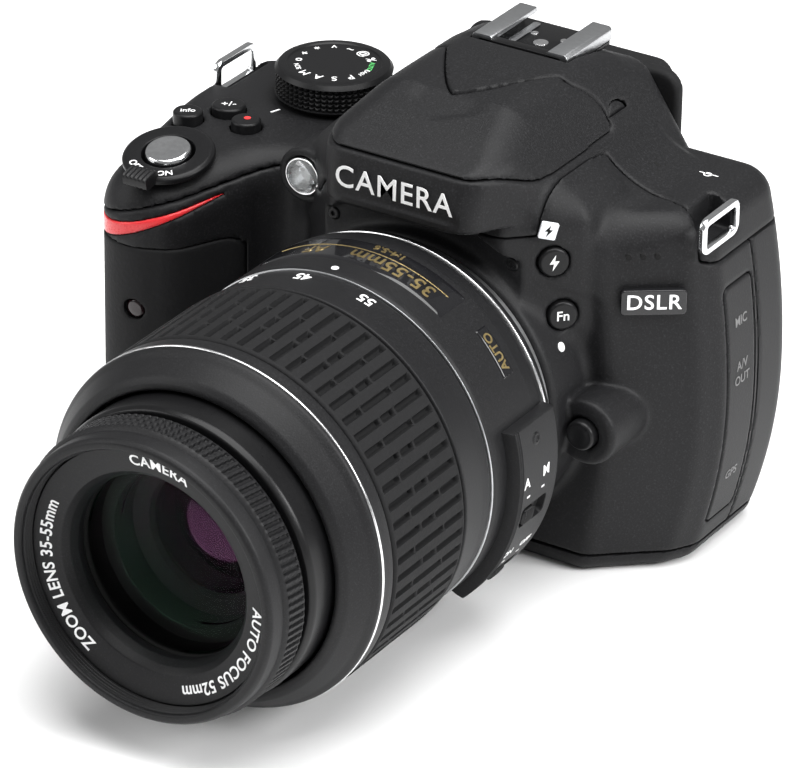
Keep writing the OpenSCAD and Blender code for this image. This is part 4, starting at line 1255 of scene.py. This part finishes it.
class CAMERA_OT_fixtures(bpy.types.Operator):
    """Hot shoe, strap loops, assist lamp, infrared window, screen and name plates"""

    bl_idname = "camera.fixtures"
    bl_label = "Fixtures"

    def execute(self, context):
        self.shoe()
        for name, x, y in (("right", 49.3, -14), ("left", -67.1, -5)):
            outer = rounded_outline(14.0, 7.6, 2.2, 10)
            inner = rounded_outline(11.2, 4.8, 0.8, 10)
            loop = slab_piece("StrapLoop." + name, outer, -0.7, 0.7, (x, y, 73.3), (1, 0, 0), 0.35, inner)
            dress(loop, "camera_body", FINISH["chrome"], ["strap_lugs"] if name == "right" else [])
        self.lamp()
        window = turned("InfraredWindow", [(0, -50.2), (2.1, -50.2), (2.1, -53.3), (1.6, -53.8), (0, -54)],
                        (WINDOW_AT[0], 0, WINDOW_AT[1]), (0, 1, 0), 0.25)
        dress(window, "camera_body", FINISH["infrared"])
        self.screen()
        self.plates()
        return {"FINISHED"}

    def shoe(self):
        """Hot shoe: a black floor, two rolled satin rails, a spring strip and round contacts."""
        floor = slab_piece("HotShoe.floor", rounded_outline(21.4, 17.2, 1.0), 92.5, 93.3, (0, 2, 0),
                           (0, 0, 1), 0.12)
        dress(floor, "camera_body", FINISH["satin"])
        rails = []
        for side in (-1, 1):
            section = soften([(10.7, 93.3), (10.7, 95.5), (10.2, 96.1), (6.25, 96.1), (6.25, 94.9),
                              (9.35, 94.9),
                              (9.35, 93.3)], 0.3)
            along = np.array([-6.6, -6.45, 10.45, 10.6])
            pull = np.array([0.15, 0, 0, 0.15])
            centre = section.mean(axis=0)
            layers = []
            for y, p in zip(along, pull):
                ring = section + (centre - section) * p * 0.2
                layers.append(np.column_stack([side * ring[:, 0], np.full(len(ring), y), ring[:, 1]]))
            ends = [np.repeat(layers[0].mean(axis=0)[None], len(section), 0)] + layers
            ends.append(np.repeat(layers[-1].mean(axis=0)[None], len(section), 0))
            points = np.concatenate(ends)
            rails.append(mesh_piece("rail", points, grid_quads(len(ends), len(section), False, True)))
        bar = slab_piece("bar", rounded_outline(18.9, 2.2, 0.4), 93.3, 95.4, (0, -5.5, 0), (0, 0, 1), 0.2)
        dress(bar, "camera_body", FINISH["satin"])
        bar.name = "HotShoe.stop"
        whole = joined("HotShoe", rails)
        dress(whole, "camera_body", FINISH["steel"], ["hot_shoe"])
        spring = slab_piece("HotShoe.spring", rounded_outline(1.6, 13.0, 0.7), 93.35, 93.7,
                            (-5.0, 2.5, 0), (0, 0, 1), 0.1)
        dress(spring, "camera_body", FINISH["steel"])
        spots = [(0, 1.6, 1.5), (-3.4, -2.0, 0.8), (3.4, -2.0, 0.8), (-3.4, 4.9, 0.8), (3.4, 4.9, 0.8)]
        pads = [turned("pad", [(0, 93.25), (r, 93.25), (r, 93.42), (0, 93.46)], (x, y, 0), (0, 0, 1), 0.05,
                       32)
                for x, y, r in spots]
        dress(joined("HotShoe.contacts", pads), "camera_body", FINISH["silver"])

    def lamp(self):
        """Assist lamp: a faceted clear lens in front of a bright cup."""
        lamp_at = (LAMP_AT[0], 0, LAMP_AT[1])
        cup = turned("Lamp.cup", [(0, -29.4), (3.85, -29.4), (3.85, -35.6), (3.5, -35.6), (2.6, -31.5),
                                  (0, -30.4)],
                     lamp_at, (0, 1, 0), 0.15, 48)
        dress(cup, "camera_body", FINISH["silver"])
        lens = turned("Lamp.lens", [(0, -33.6), (3.35, -33.9), (3.7, -35.2), (2.6, -36.2), (0, -36.7)],
                      lamp_at, (0, 1, 0), 0.3, 48)
        dress(lens, "camera_body", FINISH["window"], ["front_windows"])

    def screen(self):
        """Rear screen: a glossy pane in a thin frame."""
        frame_piece = slab_piece("Screen.frame", rounded_outline(66, 50, 2.0), 8.2, 12.9, (5, 0, 35),
                                 (0, 1, 0), 0.5)
        dress(frame_piece, "camera_body", FINISH["controls"])
        pane = slab_piece("Screen.pane", rounded_outline(63.4, 47.4, 1.4), 12.8, 13.4, (5, 0, 35),
                          (0, 1, 0), 0.15)
        dress(pane, "camera_body", FINISH["screen"], ["lcd_window"])

    def plates(self):
        """Name plate on the brow, a small badge on the corner, printed marks on the casing, and matte black
        inlays that paint the shade in the speaker slots and microphone holes.
        """
        lettering("NamePlate.text", "CAMERA", 4.5, on_plane((-0.4, -51.22, 82.3), (0, -1, 0)), "camera_body",
                  FINISH["white"], 0.05, 0.03, 1.09)
        facing = (math.sin(math.radians(36)), -math.cos(math.radians(36)), 0)
        at = (42.4, -25.95, 60.4)
        badge = slab_piece("Badge", rounded_outline(12.6, 5.2, 0.8), -1.0, 0.45, at, facing, 0.2)
        dress(badge, "camera_body", FINISH["gloss"])
        lettering("Badge.text", "DSLR", 3.1, on_plane(np.array(at) + 0.45 * np.array(facing), facing),
                  "camera_body", FINISH["silver"], 0.06, 0.05, 1.1)
        self.small_marks(facing)
        self.port_words()
        self.pins()

    def port_words(self):
        """Printed words on the port door, laid on its bowed face."""
        for word, z in (("MIC", 52.0), ("A/V", 42.6), ("OUT", 39.6), ("GPS", 18.5)):

            def place(right, up, out, z=z):
                height = z + up
                bow = np.where(height < 36, 0.0051, 0.0034) * (height - 36) ** 2
                return np.stack([53.0 - bow + out, -8.6 + right, height], -1)

            lettering("Ports." + word.replace("/", ""), word, 1.9, place, "port_door", FINISH["grey"], 0.04,
                      0.03)

    def pins(self):
        """Hinge pins of the doors, the flash head and the command dial."""
        up, across, along = (0, 0, 1), (1, 0, 0), (0, 1, 0)
        rods = [((52, -12.6, 0), up, 0.5, 27, 45), ((-68.4, 0, 0), up, 0.5, 24, 54),
                ((-47.5, 0, 1.1), along, 0.5, -49, -9),
                ((0, *FLASH_PIVOT), across, 1.5, 15.2, 20.5), ((0, *FLASH_PIVOT), across, 1.5, -20.5, -15.2),
                ((*COMMAND_AT, 0), up, 1.0, 66, 71)]
        pieces = [turned("pin", [(0, low), (r, low), (r, high), (0, high)], at, way, 0.1, 24)
                  for at, way, r, low, high in rods]
        dress(joined("HingePins", pieces), "camera_body", FINISH["steel"], ["hinge_pins"])

    def small_marks(self, facing):
        """Matte black inlays that paint the shade inside the speaker slots and microphone holes; focal-plane
        mark, flash sticker, index dot and mount screws.
        """
        deck, normal = deck_spot(30.5, -5)
        # Thin matte black pieces, slightly sunk, paint the shade inside the speaker slots.
        slots = []
        for angle in (0, 45, 135, 225, 315):
            c, s = math.cos(math.radians(angle)), math.sin(math.radians(angle))
            out = 2.3 * (angle > 0)
            outline = rounded_outline(1.7, 0.8, 0.39) @ np.array([[c, s], [-s, c]])
            spot = deck + upright(normal) @ np.array([out * c, out * s, 0])
            slots.append(slab_piece("slot", outline, -0.5, 0.06, spot, normal, 0.02))
        # Matte black plugs paint the shade inside the microphone holes.
        for x, y in ((38.5, -29.2), (40.7, -27.5), (42.9, -25.85)):
            slots.append(turned("hole", [(0, -0.8), (0.6, -0.8), (0.6, 0.05), (0, 0.05)], (x, y, 70),
                                facing, 0.02, 24))
        dress(joined("Marks.painted_shade_slots", slots), "camera_body", FINISH["matte"])
        mark, level = deck_spot(39, 0)
        lettering("Marks.plane", "o", 2.6, on_plane(mark + 0.05 * level, level), "camera_body",
                  FINISH["white"],
                  0.03, 0.0)
        dash = slab_piece("Marks.plane_line", rounded_outline(4.4, 0.3, 0.14), -0.3, 0.08, mark, level, 0.02)
        dress(dash, "camera_body", FINISH["white"])
        k = math.sqrt(0.5)
        slant = (k, -k, 0)
        tilt = math.radians(-15)
        turn = np.array([[math.cos(tilt), math.sin(tilt)], [-math.sin(tilt), math.cos(tilt)]])
        at = np.array([26.5, -38.9, 76.3])
        label = slab_piece("Marks.label", rounded_outline(3.4, 3.4, 0.3) @ turn, -0.5, 0.08, at, slant, 0.03)
        dress(label, "camera_body", FINISH["sticker"])
        bolt = np.array([(0.2, 1.3), (-0.75, -0.15), (-0.1, -0.15), (-0.25, -1.3), (0.75, 0.3),
                         (0.1, 0.3)]) @ turn
        badge("Marks.label_icon", bolt, at + 0.08 * np.array(slant), slant,
                                      FINISH["matte"], "camera_body", 0.04)
        dot = turned("Marks.index_dot", [(0, -0.5), (1.0, -0.5), (0.95, 0.2), (0, 0.3)],
                     place_lens(32.0, math.radians(25.4), -37.1),
                     (math.cos(math.radians(25.4)), 0, math.sin(math.radians(25.4))), 0.1, 32)
        dress(dot, "camera_body", FINISH["white"])
        heads = [turned("screw", [(0, -0.6), (1.35, -0.6), (1.35, 0.1), (1.05, 0.35), (0.5, 0.35),
                                  (0.4, 0.0), (0, 0.0)],
                        (x, -41, 68.4), (0, -1, 0), 0.08, 32) for x in (-20, 20)]
        dress(joined("Marks.screws", heads), "camera_body", FINISH["satin"])


# ---- lens ----


class CAMERA_OT_barrel(bpy.types.Operator):
    """Fixed barrel with a silver ring that paints the highlight on its rear chamfer, switch panel, plates,
    index dot and sliders
    """

    bl_idname = "camera.barrel"
    bl_label = "Lens barrel"

    PANEL_R = 38.1
    PANEL_LOW, PANEL_HIGH = math.radians(-48), math.radians(17)

    def execute(self, context):
        barrel = lens_turned("Lens.barrel", [
            (22, -48.2), (33.9, -48.2), (34.3, -50.3), (35.2, -52.6), (35.7, -56), (35.7, -71.5),
            (35.4, -72.35),
            (33.2, -72.35), (33.2, -110.2), (30.3, -110.2), (30.3, -71.5), (15.4, -71.5), (15.4, -58),
            (12.6, -58),
            (12.6, -49.6), (20.4, -48.2), (22, -48.2), (22, -50.4), (17.6, -54), (17.6, -69.6), (31.2, -69.6),
            (33.2, -66), (33.2, -54), (30, -50.4), (22, -49.2)], 0.35, 240)
        dress(barrel, "lens", FINISH["lens"], ["lens_barrel"])
        # Silver ring on the rear chamfer: a painted highlight on the black barrel edge.
        line = lens_turned("Lens.rear_highlight_ring", [(34.1, -49.5), (34.62, -50.1), (34.62, -50.5), (34.1, -50.9)],
                           0.1, 240)
        dress(line, "lens", FINISH["silver"])
        self.panel()
        at = math.radians(92.1)
        dot = turned("Lens.index_dot", [(0, -0.3), (0.8, -0.3), (0.75, 0.1), (0, 0.14)],
                     place_lens(35.68, at, -69.8), (math.cos(at), 0, math.sin(at)), 0.05, 32)
        dress(dot, "lens", FINISH["white"])
        seam = lens_turned("Lens.front_line", [(35.2, -72.2), (35.66, -72.3), (35.66, -72.55),
                                               (35.2, -72.65)], 0.05, 240)
        dress(seam, "lens", FINISH["steel"])
        self.sliders()
        self.gold_plates()
        return {"FINISHED"}

    def panel(self):
        """Raised sector that carries the two sliders.

        Its radius falls to the barrel's at all four sides over a short ease, and three fine ridges
        run along its front edge. The sliders' slots are sunk into it.
        """
        low, high = self.PANEL_LOW, self.PANEL_HIGH
        turn = np.linspace(low, high, 261)
        along = np.linspace(-67.6, -52.4, 121)
        t, y = np.meshgrid(turn, along, indexing="ij")
        edge = np.minimum(ease(t, low, low + 0.025), ease(-t, -high, -high + 0.025))
        edge = np.minimum(edge, np.minimum(ease(y, -67.6, -66.9), ease(-y, 52.4, 53.1)))
        r = 35.2 + (self.PANEL_R - 35.2) * np.sqrt(edge)
        ridges = (y < -65.2) * 0.22 * (0.5 - 0.5 * np.cos((y + 65.2) / 2.0 * 3 * TAU))
        r = r + ridges * (edge > 0.95)
        for centre in (-13, -37):
            across = np.abs(t - math.radians(centre)) * self.PANEL_R
            slot = meet(across - 2.15, np.abs(y + 60.2) - 4.3, 1.0)
            r = r - 1.35 * ease(-slot, -0.12, 0.12)
        piece = lens_sheet("Lens.switch_panel", r, np.full_like(r, 34.6), t, y)
        dress(piece, "lens", FINISH["lens"])
        for text, angle, along_y, size in (("A", -1.4, -64.0, 2.2), ("M", -1.3, -57.2, 2.2),
                                           ("ON", -27, -63.6, 1.5),
                                           ("OFF", -27, -57.4, 1.5)):
            placing = self.sideways(self.PANEL_R + 0.02, math.radians(angle), along_y)
            lettering("Lens.mark." + text, text, size, placing, "lens", FINISH["white"], 0.05, 0.04)
        for node, angle in (("focus", -5.6), ("stabiliser", -30.4)):
            for way, along_y in ((-1, -63.2), (1, -58.0)):
                placing = self.sideways(self.PANEL_R + 0.02, math.radians(angle), along_y)
                lettering("Lens.bracket.{}{}".format(node, way + 1), "-", 3.0, placing, "lens",
                          FINISH["white"], 0.04, 0.0)
        screw_at = place_lens(self.PANEL_R - 0.2, math.radians(10.5), -60.2)
        facing = (math.cos(math.radians(10.5)), 0, math.sin(math.radians(10.5)))
        screw = turned("Lens.panel_screw", [(0, -0.3), (1.25, -0.3), (1.25, 0.25), (0.7, 0.4), (0.5, 0.1),
                                            (0, 0.1)],
                       screw_at, facing, 0.1, 32)
        dress(screw, "lens", FINISH["satin"])

    def sideways(self, radius, angle, along):
        """Placement round the barrel with text that reads along the axis towards the body."""

        def place(right, up, out):
            turn = angle + up / radius
            return place_lens(radius + out, turn, along + right)

        return place

    def sliders(self):
        """The two switch knobs, with fine ribs across them."""
        for node, centre in (("focus_switch", -13), ("stabiliser_switch", -37)):
            low, high = box_mm(node)
            mid_y = (low[1] + high[1]) / 2
            rows = np.linspace(0, 1, 41)
            around = np.linspace(0, TAU, 33)[:-1]
            u, v = np.meshgrid(rows, around, indexing="ij")
            cap = np.sqrt(np.clip(1 - np.abs(2 * u - 1) ** 6, 0, 1))
            wide = 1.75 * np.sign(np.cos(v)) * np.abs(np.cos(v)) ** 0.5
            tall = 0.9 * np.sign(np.sin(v)) * np.abs(np.sin(v)) ** 0.5
            tall = tall + (np.sin(v) > 0.3) * 0.1 * np.cos(u * TAU * 8)
            y = mid_y + (u - 0.5) * (high[1] - low[1])
            radius = 37.7 + tall * cap
            turn = math.radians(centre) + wide * cap / 38
            knob = mesh_piece("Slider." + node, place_lens(radius, turn, y).reshape(-1, 3),
                              grid_quads(len(rows), len(around), False, True))
            dress(knob, node, FINISH["controls"], [node])

    def gold_plates(self):
        """Dark plates with gold letters on the upper barrel."""
        for name, low, high, back, front in (("wide", 56, 126, -57.0, -66.5),
                                             ("small", 30, 47, -57.9, -61.5)):
            t = np.radians(np.linspace(low, high, 61))
            y = np.linspace(front, back, 15)
            tt, yy = np.meshgrid(t, y, indexing="ij")
            edge = np.minimum(np.minimum(tt - t[0], t[-1] - tt) * 35.9, np.minimum(yy - y[0], y[-1] - yy))
            r = 35.6 + 0.32 * ease(edge, -0.01, 0.4)
            plate = lens_sheet("Plate." + name, r, np.full_like(r, 35.4), tt, yy)
            dress(plate, "lens", FINISH["gloss"])
        for name, text, size, angle, along in (
            ("focal", "35-55mm", 3.4, 78.5, -63.0), ("box", "AF", 2.9, 106, -63.0),
            ("range", "1:4-5.6", 1.7, 84, -58.6), ("small", "AUTO", 2.0, 38.5, -59.7),
        ):
            lettering("Plate.text." + name, text, size, on_barrel(35.95, math.radians(angle), along), "lens",
                      FINISH["gold"], 0.05, 0.06, 1.05)
        line = lens_turned("line", [(35.8, -60.55), (35.98, -60.55), (35.98, -60.8), (35.8, -60.8)], 0.03,
                           360)
        lens_sector(line, 60, 122)
        dress(line, "lens", FINISH["gold"])
        line.name = "Plate.line"


class CAMERA_OT_zoom(bpy.types.Operator):
    """Zoom ring: rear band with focal lengths, ribbed rubber, bright trim and the sloping mouth"""

    bl_idname = "camera.zoom"
    bl_label = "Zoom ring"

    def execute(self, context):
        ring = lens_turned("Zoom.ring", [
            (33.6, -72.75), (35.45, -72.75), (35.6, -76), (36.25, -82.3), (36.2, -82.8), (34.9, -83.2),
            (34.9, -107.6), (36.2, -107.8), (36.1, -110.15),
            (36.15, -112.2), (35.0, -113.6), (32.6, -117.4), (31.3, -118.35), (30.2, -118.3), (30.2, -112.4),
            (33.6, -111.2)], 0.45, 240)
        dress(ring, "zoom_ring", FINISH["lens"], ["zoom_ring"])
        trim = lens_turned("Zoom.trim", [(35.9, -110.75), (36.28, -111.0), (36.28, -111.35),
                                         (35.9, -111.7)], 0.1, 240)
        dress(trim, "zoom_ring", FINISH["silver"])
        self.rubber(context.scene.camera_lens)
        for text, angle in (("35", 118), ("45", 97.4), ("55", 74.8)):
            lettering("Zoom.scale." + text, text, 2.5, on_barrel(35.72, math.radians(angle), -75.6),
                      "zoom_ring",
                      FINISH["white"], 0.05, 0.05)
        return {"FINISHED"}

    def rubber(self, sizes):
        """Rubber sleeve with long grooves.

        The radius dips by the groove depth along each groove's width; two short bridges per groove,
        staggered between neighbours, break it.
        """
        count = sizes.grooves
        depth = sizes.groove_depth / MM
        turn = np.linspace(0, TAU, count * 14, endpoint=False)
        along = np.linspace(-107.5, -83.3, 101)
        t, y = np.meshgrid(turn, along, indexing="ij")
        phase = (t / TAU * count) % 1
        number = np.floor(t / TAU * count)
        groove = ease(0.2 - np.abs(phase - 0.5), 0.0, 0.07)
        shift = np.where(number % 2 < 1, 0.0, 2.6)
        bridge = np.maximum(ease(-np.abs(y + 90.5 + shift), -0.6, -0.3),
                            ease(-np.abs(y + 100.5 - shift), -0.6, -0.3))
        ends = np.minimum(ease(y, -106.6, -106.1), ease(-y, 84.2, 84.7))
        r = 36.35 - depth * groove * ends * (1 - 0.8 * bridge)
        r = r - 0.5 * (1 - np.minimum(ease(y, -107.6, -106.9), ease(-y, 83.2, 83.9)))
        outer = place_lens(r, t, y).transpose(1, 0, 2)
        inner = place_lens(0 * r + 34.95, t, y).transpose(1, 0, 2)[[-1, 0]]
        points = np.concatenate([outer, inner])
        rows = len(points)
        piece = mesh_piece("Zoom.rubber", points.reshape(-1, 3), grid_quads(rows, len(turn), True, True),
                           sharp=60)
        dress(piece, "zoom_ring", FINISH["rubber"], ["zoom_grip"])


class CAMERA_OT_front(bpy.types.Operator):
    """Inner barrel, focus ring with its knurl and filter thread, name ring and the coated glass"""

    bl_idname = "camera.front"
    bl_label = "Lens front"

    def execute(self, context):
        sizes = context.scene.camera_lens
        inner = lens_turned("Front.inner_barrel", [
            (29.6, -80), (29.6, -123.4), (29.0, -124.5), (27.6, -124.6), (27.6, -123), (28.4, -122.6),
            (28.4, -80)],
            0.35, 240)
        dress(inner, "inner_barrel", FINISH["satin"], ["inner_barrel"])
        self.ring(sizes)
        self.name_ring()
        self.glass()
        return {"FINISHED"}

    def ring(self, sizes):
        """Focus ring: slanted ribs round a band, a rolled rim, and a thread of fine ridges inside it."""
        count = sizes.knurls
        segments = count * 8
        rib_y = np.linspace(-126.6, -131.6, 25)
        outside = [(25.1, -104), (25.1, -125.7), (28.6, -125.8)]
        outside += [(29.0, -126.3)] + [(29.25, y) for y in rib_y] + [(28.9, -132.1)]
        rim = soften([(28.5, -132.5), (28.5, -133.1), (28.35, -135.6), (27.7, -136.4), (26.5, -136.4),
                      (26.2, -135.9)], 0.35, closed=False)
        thread_y = np.linspace(-135.6, -132.7, sizes.threads * 8 + 1)
        share = (thread_y - thread_y[0]) / (thread_y[-1] - thread_y[0])
        swing = 0.5 - 0.5 * np.cos(share * TAU * sizes.threads)
        thread = np.column_stack([26.2 - 0.34 * swing, thread_y])
        back = np.array([(26.0, -132.2), (20.8, -130.9), (20.8, -126.9), (21.5, -126.7), (21.5, -104)])
        line = np.concatenate([np.array(outside), rim, thread, back])
        turn = np.linspace(0, TAU, segments, endpoint=False)
        r, t = np.meshgrid(line[:, 0], turn, indexing="ij")
        y = np.repeat(line[:, 1][:, None], segments, axis=1)
        on_rib = (np.abs(r - 29.25) < 0.01)
        slant = t * count + (y + 129) * 0.55
        wave = 0.5 - 0.5 * np.cos(slant)
        ends = np.minimum(ease(y, -131.7, -131.1), ease(-y, 126.4, 126.9))
        r = r - on_rib * 0.55 * ease(wave, 0.35, 0.75) * ends
        points = place_lens(r, t, y).reshape(-1, 3)
        piece = mesh_piece("Front.focus_ring", points, grid_quads(len(line), segments, True, True), sharp=35)
        dress(piece, "focus_ring", FINISH["lens"], ["focus_ring"])

    def name_ring(self):
        """Flat ring inside the rim with white lettering, and a stepped black throat behind it."""
        ring = lens_turned("Front.name_ring", [
            (25.8, -132.7), (25.6, -133.4), (20.3, -132.0), (19.3, -130.6), (18.55, -128.9), (18.55, -127.3),
            (20.4, -127.3), (20.5, -131.2)], 0.2, 240)
        dress(ring, "focus_ring", FINISH["lens"])
        for text, angle, spacing in (("CAMERA", 85, 1.05), ("ZOOM LENS 35-55mm", 196, 1.05),
                                     ("AUTO FOCUS 52mm", 324, 1.05)):
            place = self.round_face(math.radians(angle), 23.0)
            lettering("Front.text." + text.split()[0], text, 2.25, place, "focus_ring", FINISH["white"],
                      0.04, 0.05,
                      spacing)

    def round_face(self, angle, radius):
        """Placement round the sloping name ring, read from the front with its letters' tops outwards."""

        def place(right, up, out):
            turn = angle - right / radius
            r = radius + up
            return place_lens(r, turn, -132.74 - (r - 23) * 0.264 - out)

        return place

    def glass(self):
        """Front lens and the coated surfaces behind it."""

        def dome(name, radius, sag, at, thick, material, body, segments=128):
            rings = np.linspace(0, 1, 33)
            front = [(radius * k, at - sag * (1 - k * k)) for k in rings]
            rear = [(radius * k, at + thick - 0.4 * sag * (1 - k * k)) for k in rings[::-1]]
            line = np.array(front + rear)
            turn = np.linspace(0, TAU, segments, endpoint=False)
            r, t = np.meshgrid(line[:, 0], turn, indexing="ij")
            y = np.repeat(line[:, 1][:, None], segments, axis=1)
            piece = mesh_piece(name, place_lens(r, t, y).reshape(-1, 3),
                               grid_quads(len(line), segments, False, True))
            return dress(piece, body, material)

        front = dome("Glass.front", 18.5, 2.6, -126.0, 0.9, FINISH["coat_green"], "focus_ring")
        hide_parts("front_element")
        dome("Glass.second", 15.8, -3.2, -119.5, 0.8, FINISH["coat_magenta"], "focus_ring")
        dome("Glass.third", 12.5, 3.6, -113.0, 0.8, FINISH["coat_violet"], "focus_ring")
        dome("Glass.fourth", 9.0, -2.4, -106.5, 0.8, FINISH["coat_amber"], "focus_ring")
        throat = lens_turned("Glass.throat", [
            (21.3, -126.6), (19.2, -126.4), (18.6, -125.4), (18.6, -121.5), (16.2, -120.8), (16.2, -115.0),
            (13.0, -114.2), (13.0, -108.6), (9.2, -107.8), (9.2, -104.2), (21.3, -104.2)], 0.15, 160)
        dress(throat, "focus_ring", FINISH["matte"])
        stop = turned("Glass.stop", [(0, 0), (9.4, 0), (9.4, 0.6), (0, 0.6)], (0, -104.8, AXIS_Z),
                      (0, 1, 0), 0.05, 96)
        dress(stop, "focus_ring", FINISH["matte"])


# ---- carried-over nodes ----

CARRIED = {
    "chassis": ("dark", "dark_frame"), "shutter_unit": ("dark", "dark_frame"),
    "shutter_curtain": ("satin", "dark_frame"), "focus_sleeve": ("dark", "dark_frame"),
    "body_mount_ring": ("steel", "steel"), "lens_mount": ("steel", "steel"), "lock_pin": ("steel", "steel"),
    "screws": ("steel", "steel"), "tripod_socket": ("brass", "brass_socket"),
    "viewfinder_optics": ("optics", "optical_glass"), "rear_optics": ("optics", "optical_glass"),
    "image_sensor": ("sensor", "sensor"), "main_board": ("board", "board_green"),
    "battery": ("battery", "battery_grey"), "mirror": ("mirror", "mirror_silver"),
    "flash_window": ("window", "clear_window"), "battery_door": ("casing", "black_casing"),
}


class CAMERA_OT_carried(bpy.types.Operator):
    """Finishes for the inner pieces that keep their CAD shape"""

    bl_idname = "camera.carried"
    bl_label = "Inner pieces"

    def execute(self, context):
        for name, (finish, slot_name) in CARRIED.items():
            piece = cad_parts[name]
            piece.data.materials.clear()
            piece.data.materials.append(FINISH[finish])
        return {"FINISHED"}


# ---- studio ----


class CAMERA_OT_studio(bpy.types.Operator):
    """Pale floor, soft lights and the camera that looks from the front right and above"""

    bl_idname = "camera.studio"
    bl_label = "Studio"

    def execute(self, context):
        scene = context.scene
        size = 3.0
        mesh = bpy.data.meshes.new("Floor")
        mesh.from_pydata([(-size, -size, 0), (size, -size, 0), (size, size, 0), (-size, size, 0)], [],
                         [(0, 1, 2, 3)])
        floor = bpy.data.objects.new("Floor", mesh)
        scene.collection.objects.link(floor)
        material, tree, shader = new_material("floor_white")
        noise = noise_of(tree, 6.0, 2.0)
        stops = [(0.3, (0.9, 0.9, 0.9)), (0.7, (0.92, 0.92, 0.92))]
        ramp_of(tree, noise.outputs["Fac"], stops, shader.inputs["Base Color"])
        shader.inputs["Roughness"].default_value = 0.6
        mesh.materials.append(material)
        world = bpy.data.worlds.new("Studio")
        world.use_nodes = True
        world.node_tree.nodes["Background"].inputs["Color"].default_value = (1.0, 1.0, 1.0, 1)
        world.node_tree.nodes["Background"].inputs["Strength"].default_value = 0.3
        scene.world = world
        for name, at, aim, power, width in (
            ("Top", (0.1, -0.1, 0.95), (0, -0.04, 0.05), 17.0, 0.9),
            ("Right", (1.0, 0.05, 0.65), (0, -0.05, 0.05), 12.0, 0.5),
            ("Left", (-0.8, -0.6, 0.6), (0, -0.05, 0.05), 4.0, 0.6),
        ):
            data = bpy.data.lights.new("Light." + name, "AREA")
            data.energy = power
            data.size = width
            light = bpy.data.objects.new("Light." + name, data)
            light.location = at
            light.rotation_euler = (Vector(aim) - Vector(at)).to_track_quat("-Z", "Y").to_euler()
            scene.collection.objects.link(light)
        data = bpy.data.cameras.new("View")
        data.lens = 247.9
        data.sensor_width = 36.0
        data.clip_start = 0.05
        camera = bpy.data.objects.new("View", data)
        away, down, roll = math.radians(31.84), math.radians(27.71), math.radians(0.86)
        turn = (Matrix.Rotation(away, 4, "Z") @ Matrix.Rotation(math.pi / 2 - down, 4, "X")
                @ Matrix.Rotation(roll, 4, "Z"))
        camera.matrix_world = Matrix.Translation((0.4936, -0.8432, 0.5317)) @ turn
        scene.collection.objects.link(camera)
        scene.camera = camera
        scene.view_settings.view_transform = "Standard"
        return {"FINISHED"}


# ---- panel and registration ----

STEPS = ["casing", "rubber", "flash", "doors", "eyecup", "mode_dial", "top_controls", "round_buttons",
         "fixtures",
         "barrel", "zoom", "front", "carried", "studio"]


class CAMERA_PT_sidebar(bpy.types.Panel):
    """Buttons for each group of pieces, and the sizes and colours that they use"""

    bl_idname = "CAMERA_PT_sidebar"
    bl_label = "Compact SLR camera"
    bl_space_type = "VIEW_3D"
    bl_region_type = "UI"
    bl_category = "Camera"

    def draw(self, context):
        scene = context.scene
        for group in (scene.camera_casing, scene.camera_lens, scene.camera_paints):
            box = self.layout.box()
            for key in type(group).__annotations__:
                box.prop(group, key)
        for step in STEPS:
            self.layout.operator("camera." + step)


CLASSES = (
    CameraCasing, CameraLens, CameraPaints, CAMERA_OT_casing, CAMERA_OT_rubber, CAMERA_OT_flash,
    CAMERA_OT_doors,
    CAMERA_OT_eyecup, CAMERA_OT_mode_dial, CAMERA_OT_top_controls, CAMERA_OT_round_buttons,
    CAMERA_OT_fixtures,
    CAMERA_OT_barrel, CAMERA_OT_zoom, CAMERA_OT_front, CAMERA_OT_carried, CAMERA_OT_studio, CAMERA_PT_sidebar,
)


def register():
    for item in CLASSES:
        bpy.utils.register_class(item)
    bpy.types.Scene.camera_casing = bpy.props.PointerProperty(type=CameraCasing)
    bpy.types.Scene.camera_lens = bpy.props.PointerProperty(type=CameraLens)
    bpy.types.Scene.camera_paints = bpy.props.PointerProperty(type=CameraPaints)


def unregister():
    del bpy.types.Scene.camera_casing
    del bpy.types.Scene.camera_lens
    del bpy.types.Scene.camera_paints
    for item in reversed(CLASSES):
        bpy.utils.unregister_class(item)


def main():
    register()
    FINISH.update(make_finishes(bpy.context.scene.camera_paints))
    for step in STEPS:
        getattr(bpy.ops.camera, step)()
    bpy.context.view_layer.update()


if __name__ == "__main__":
    main()
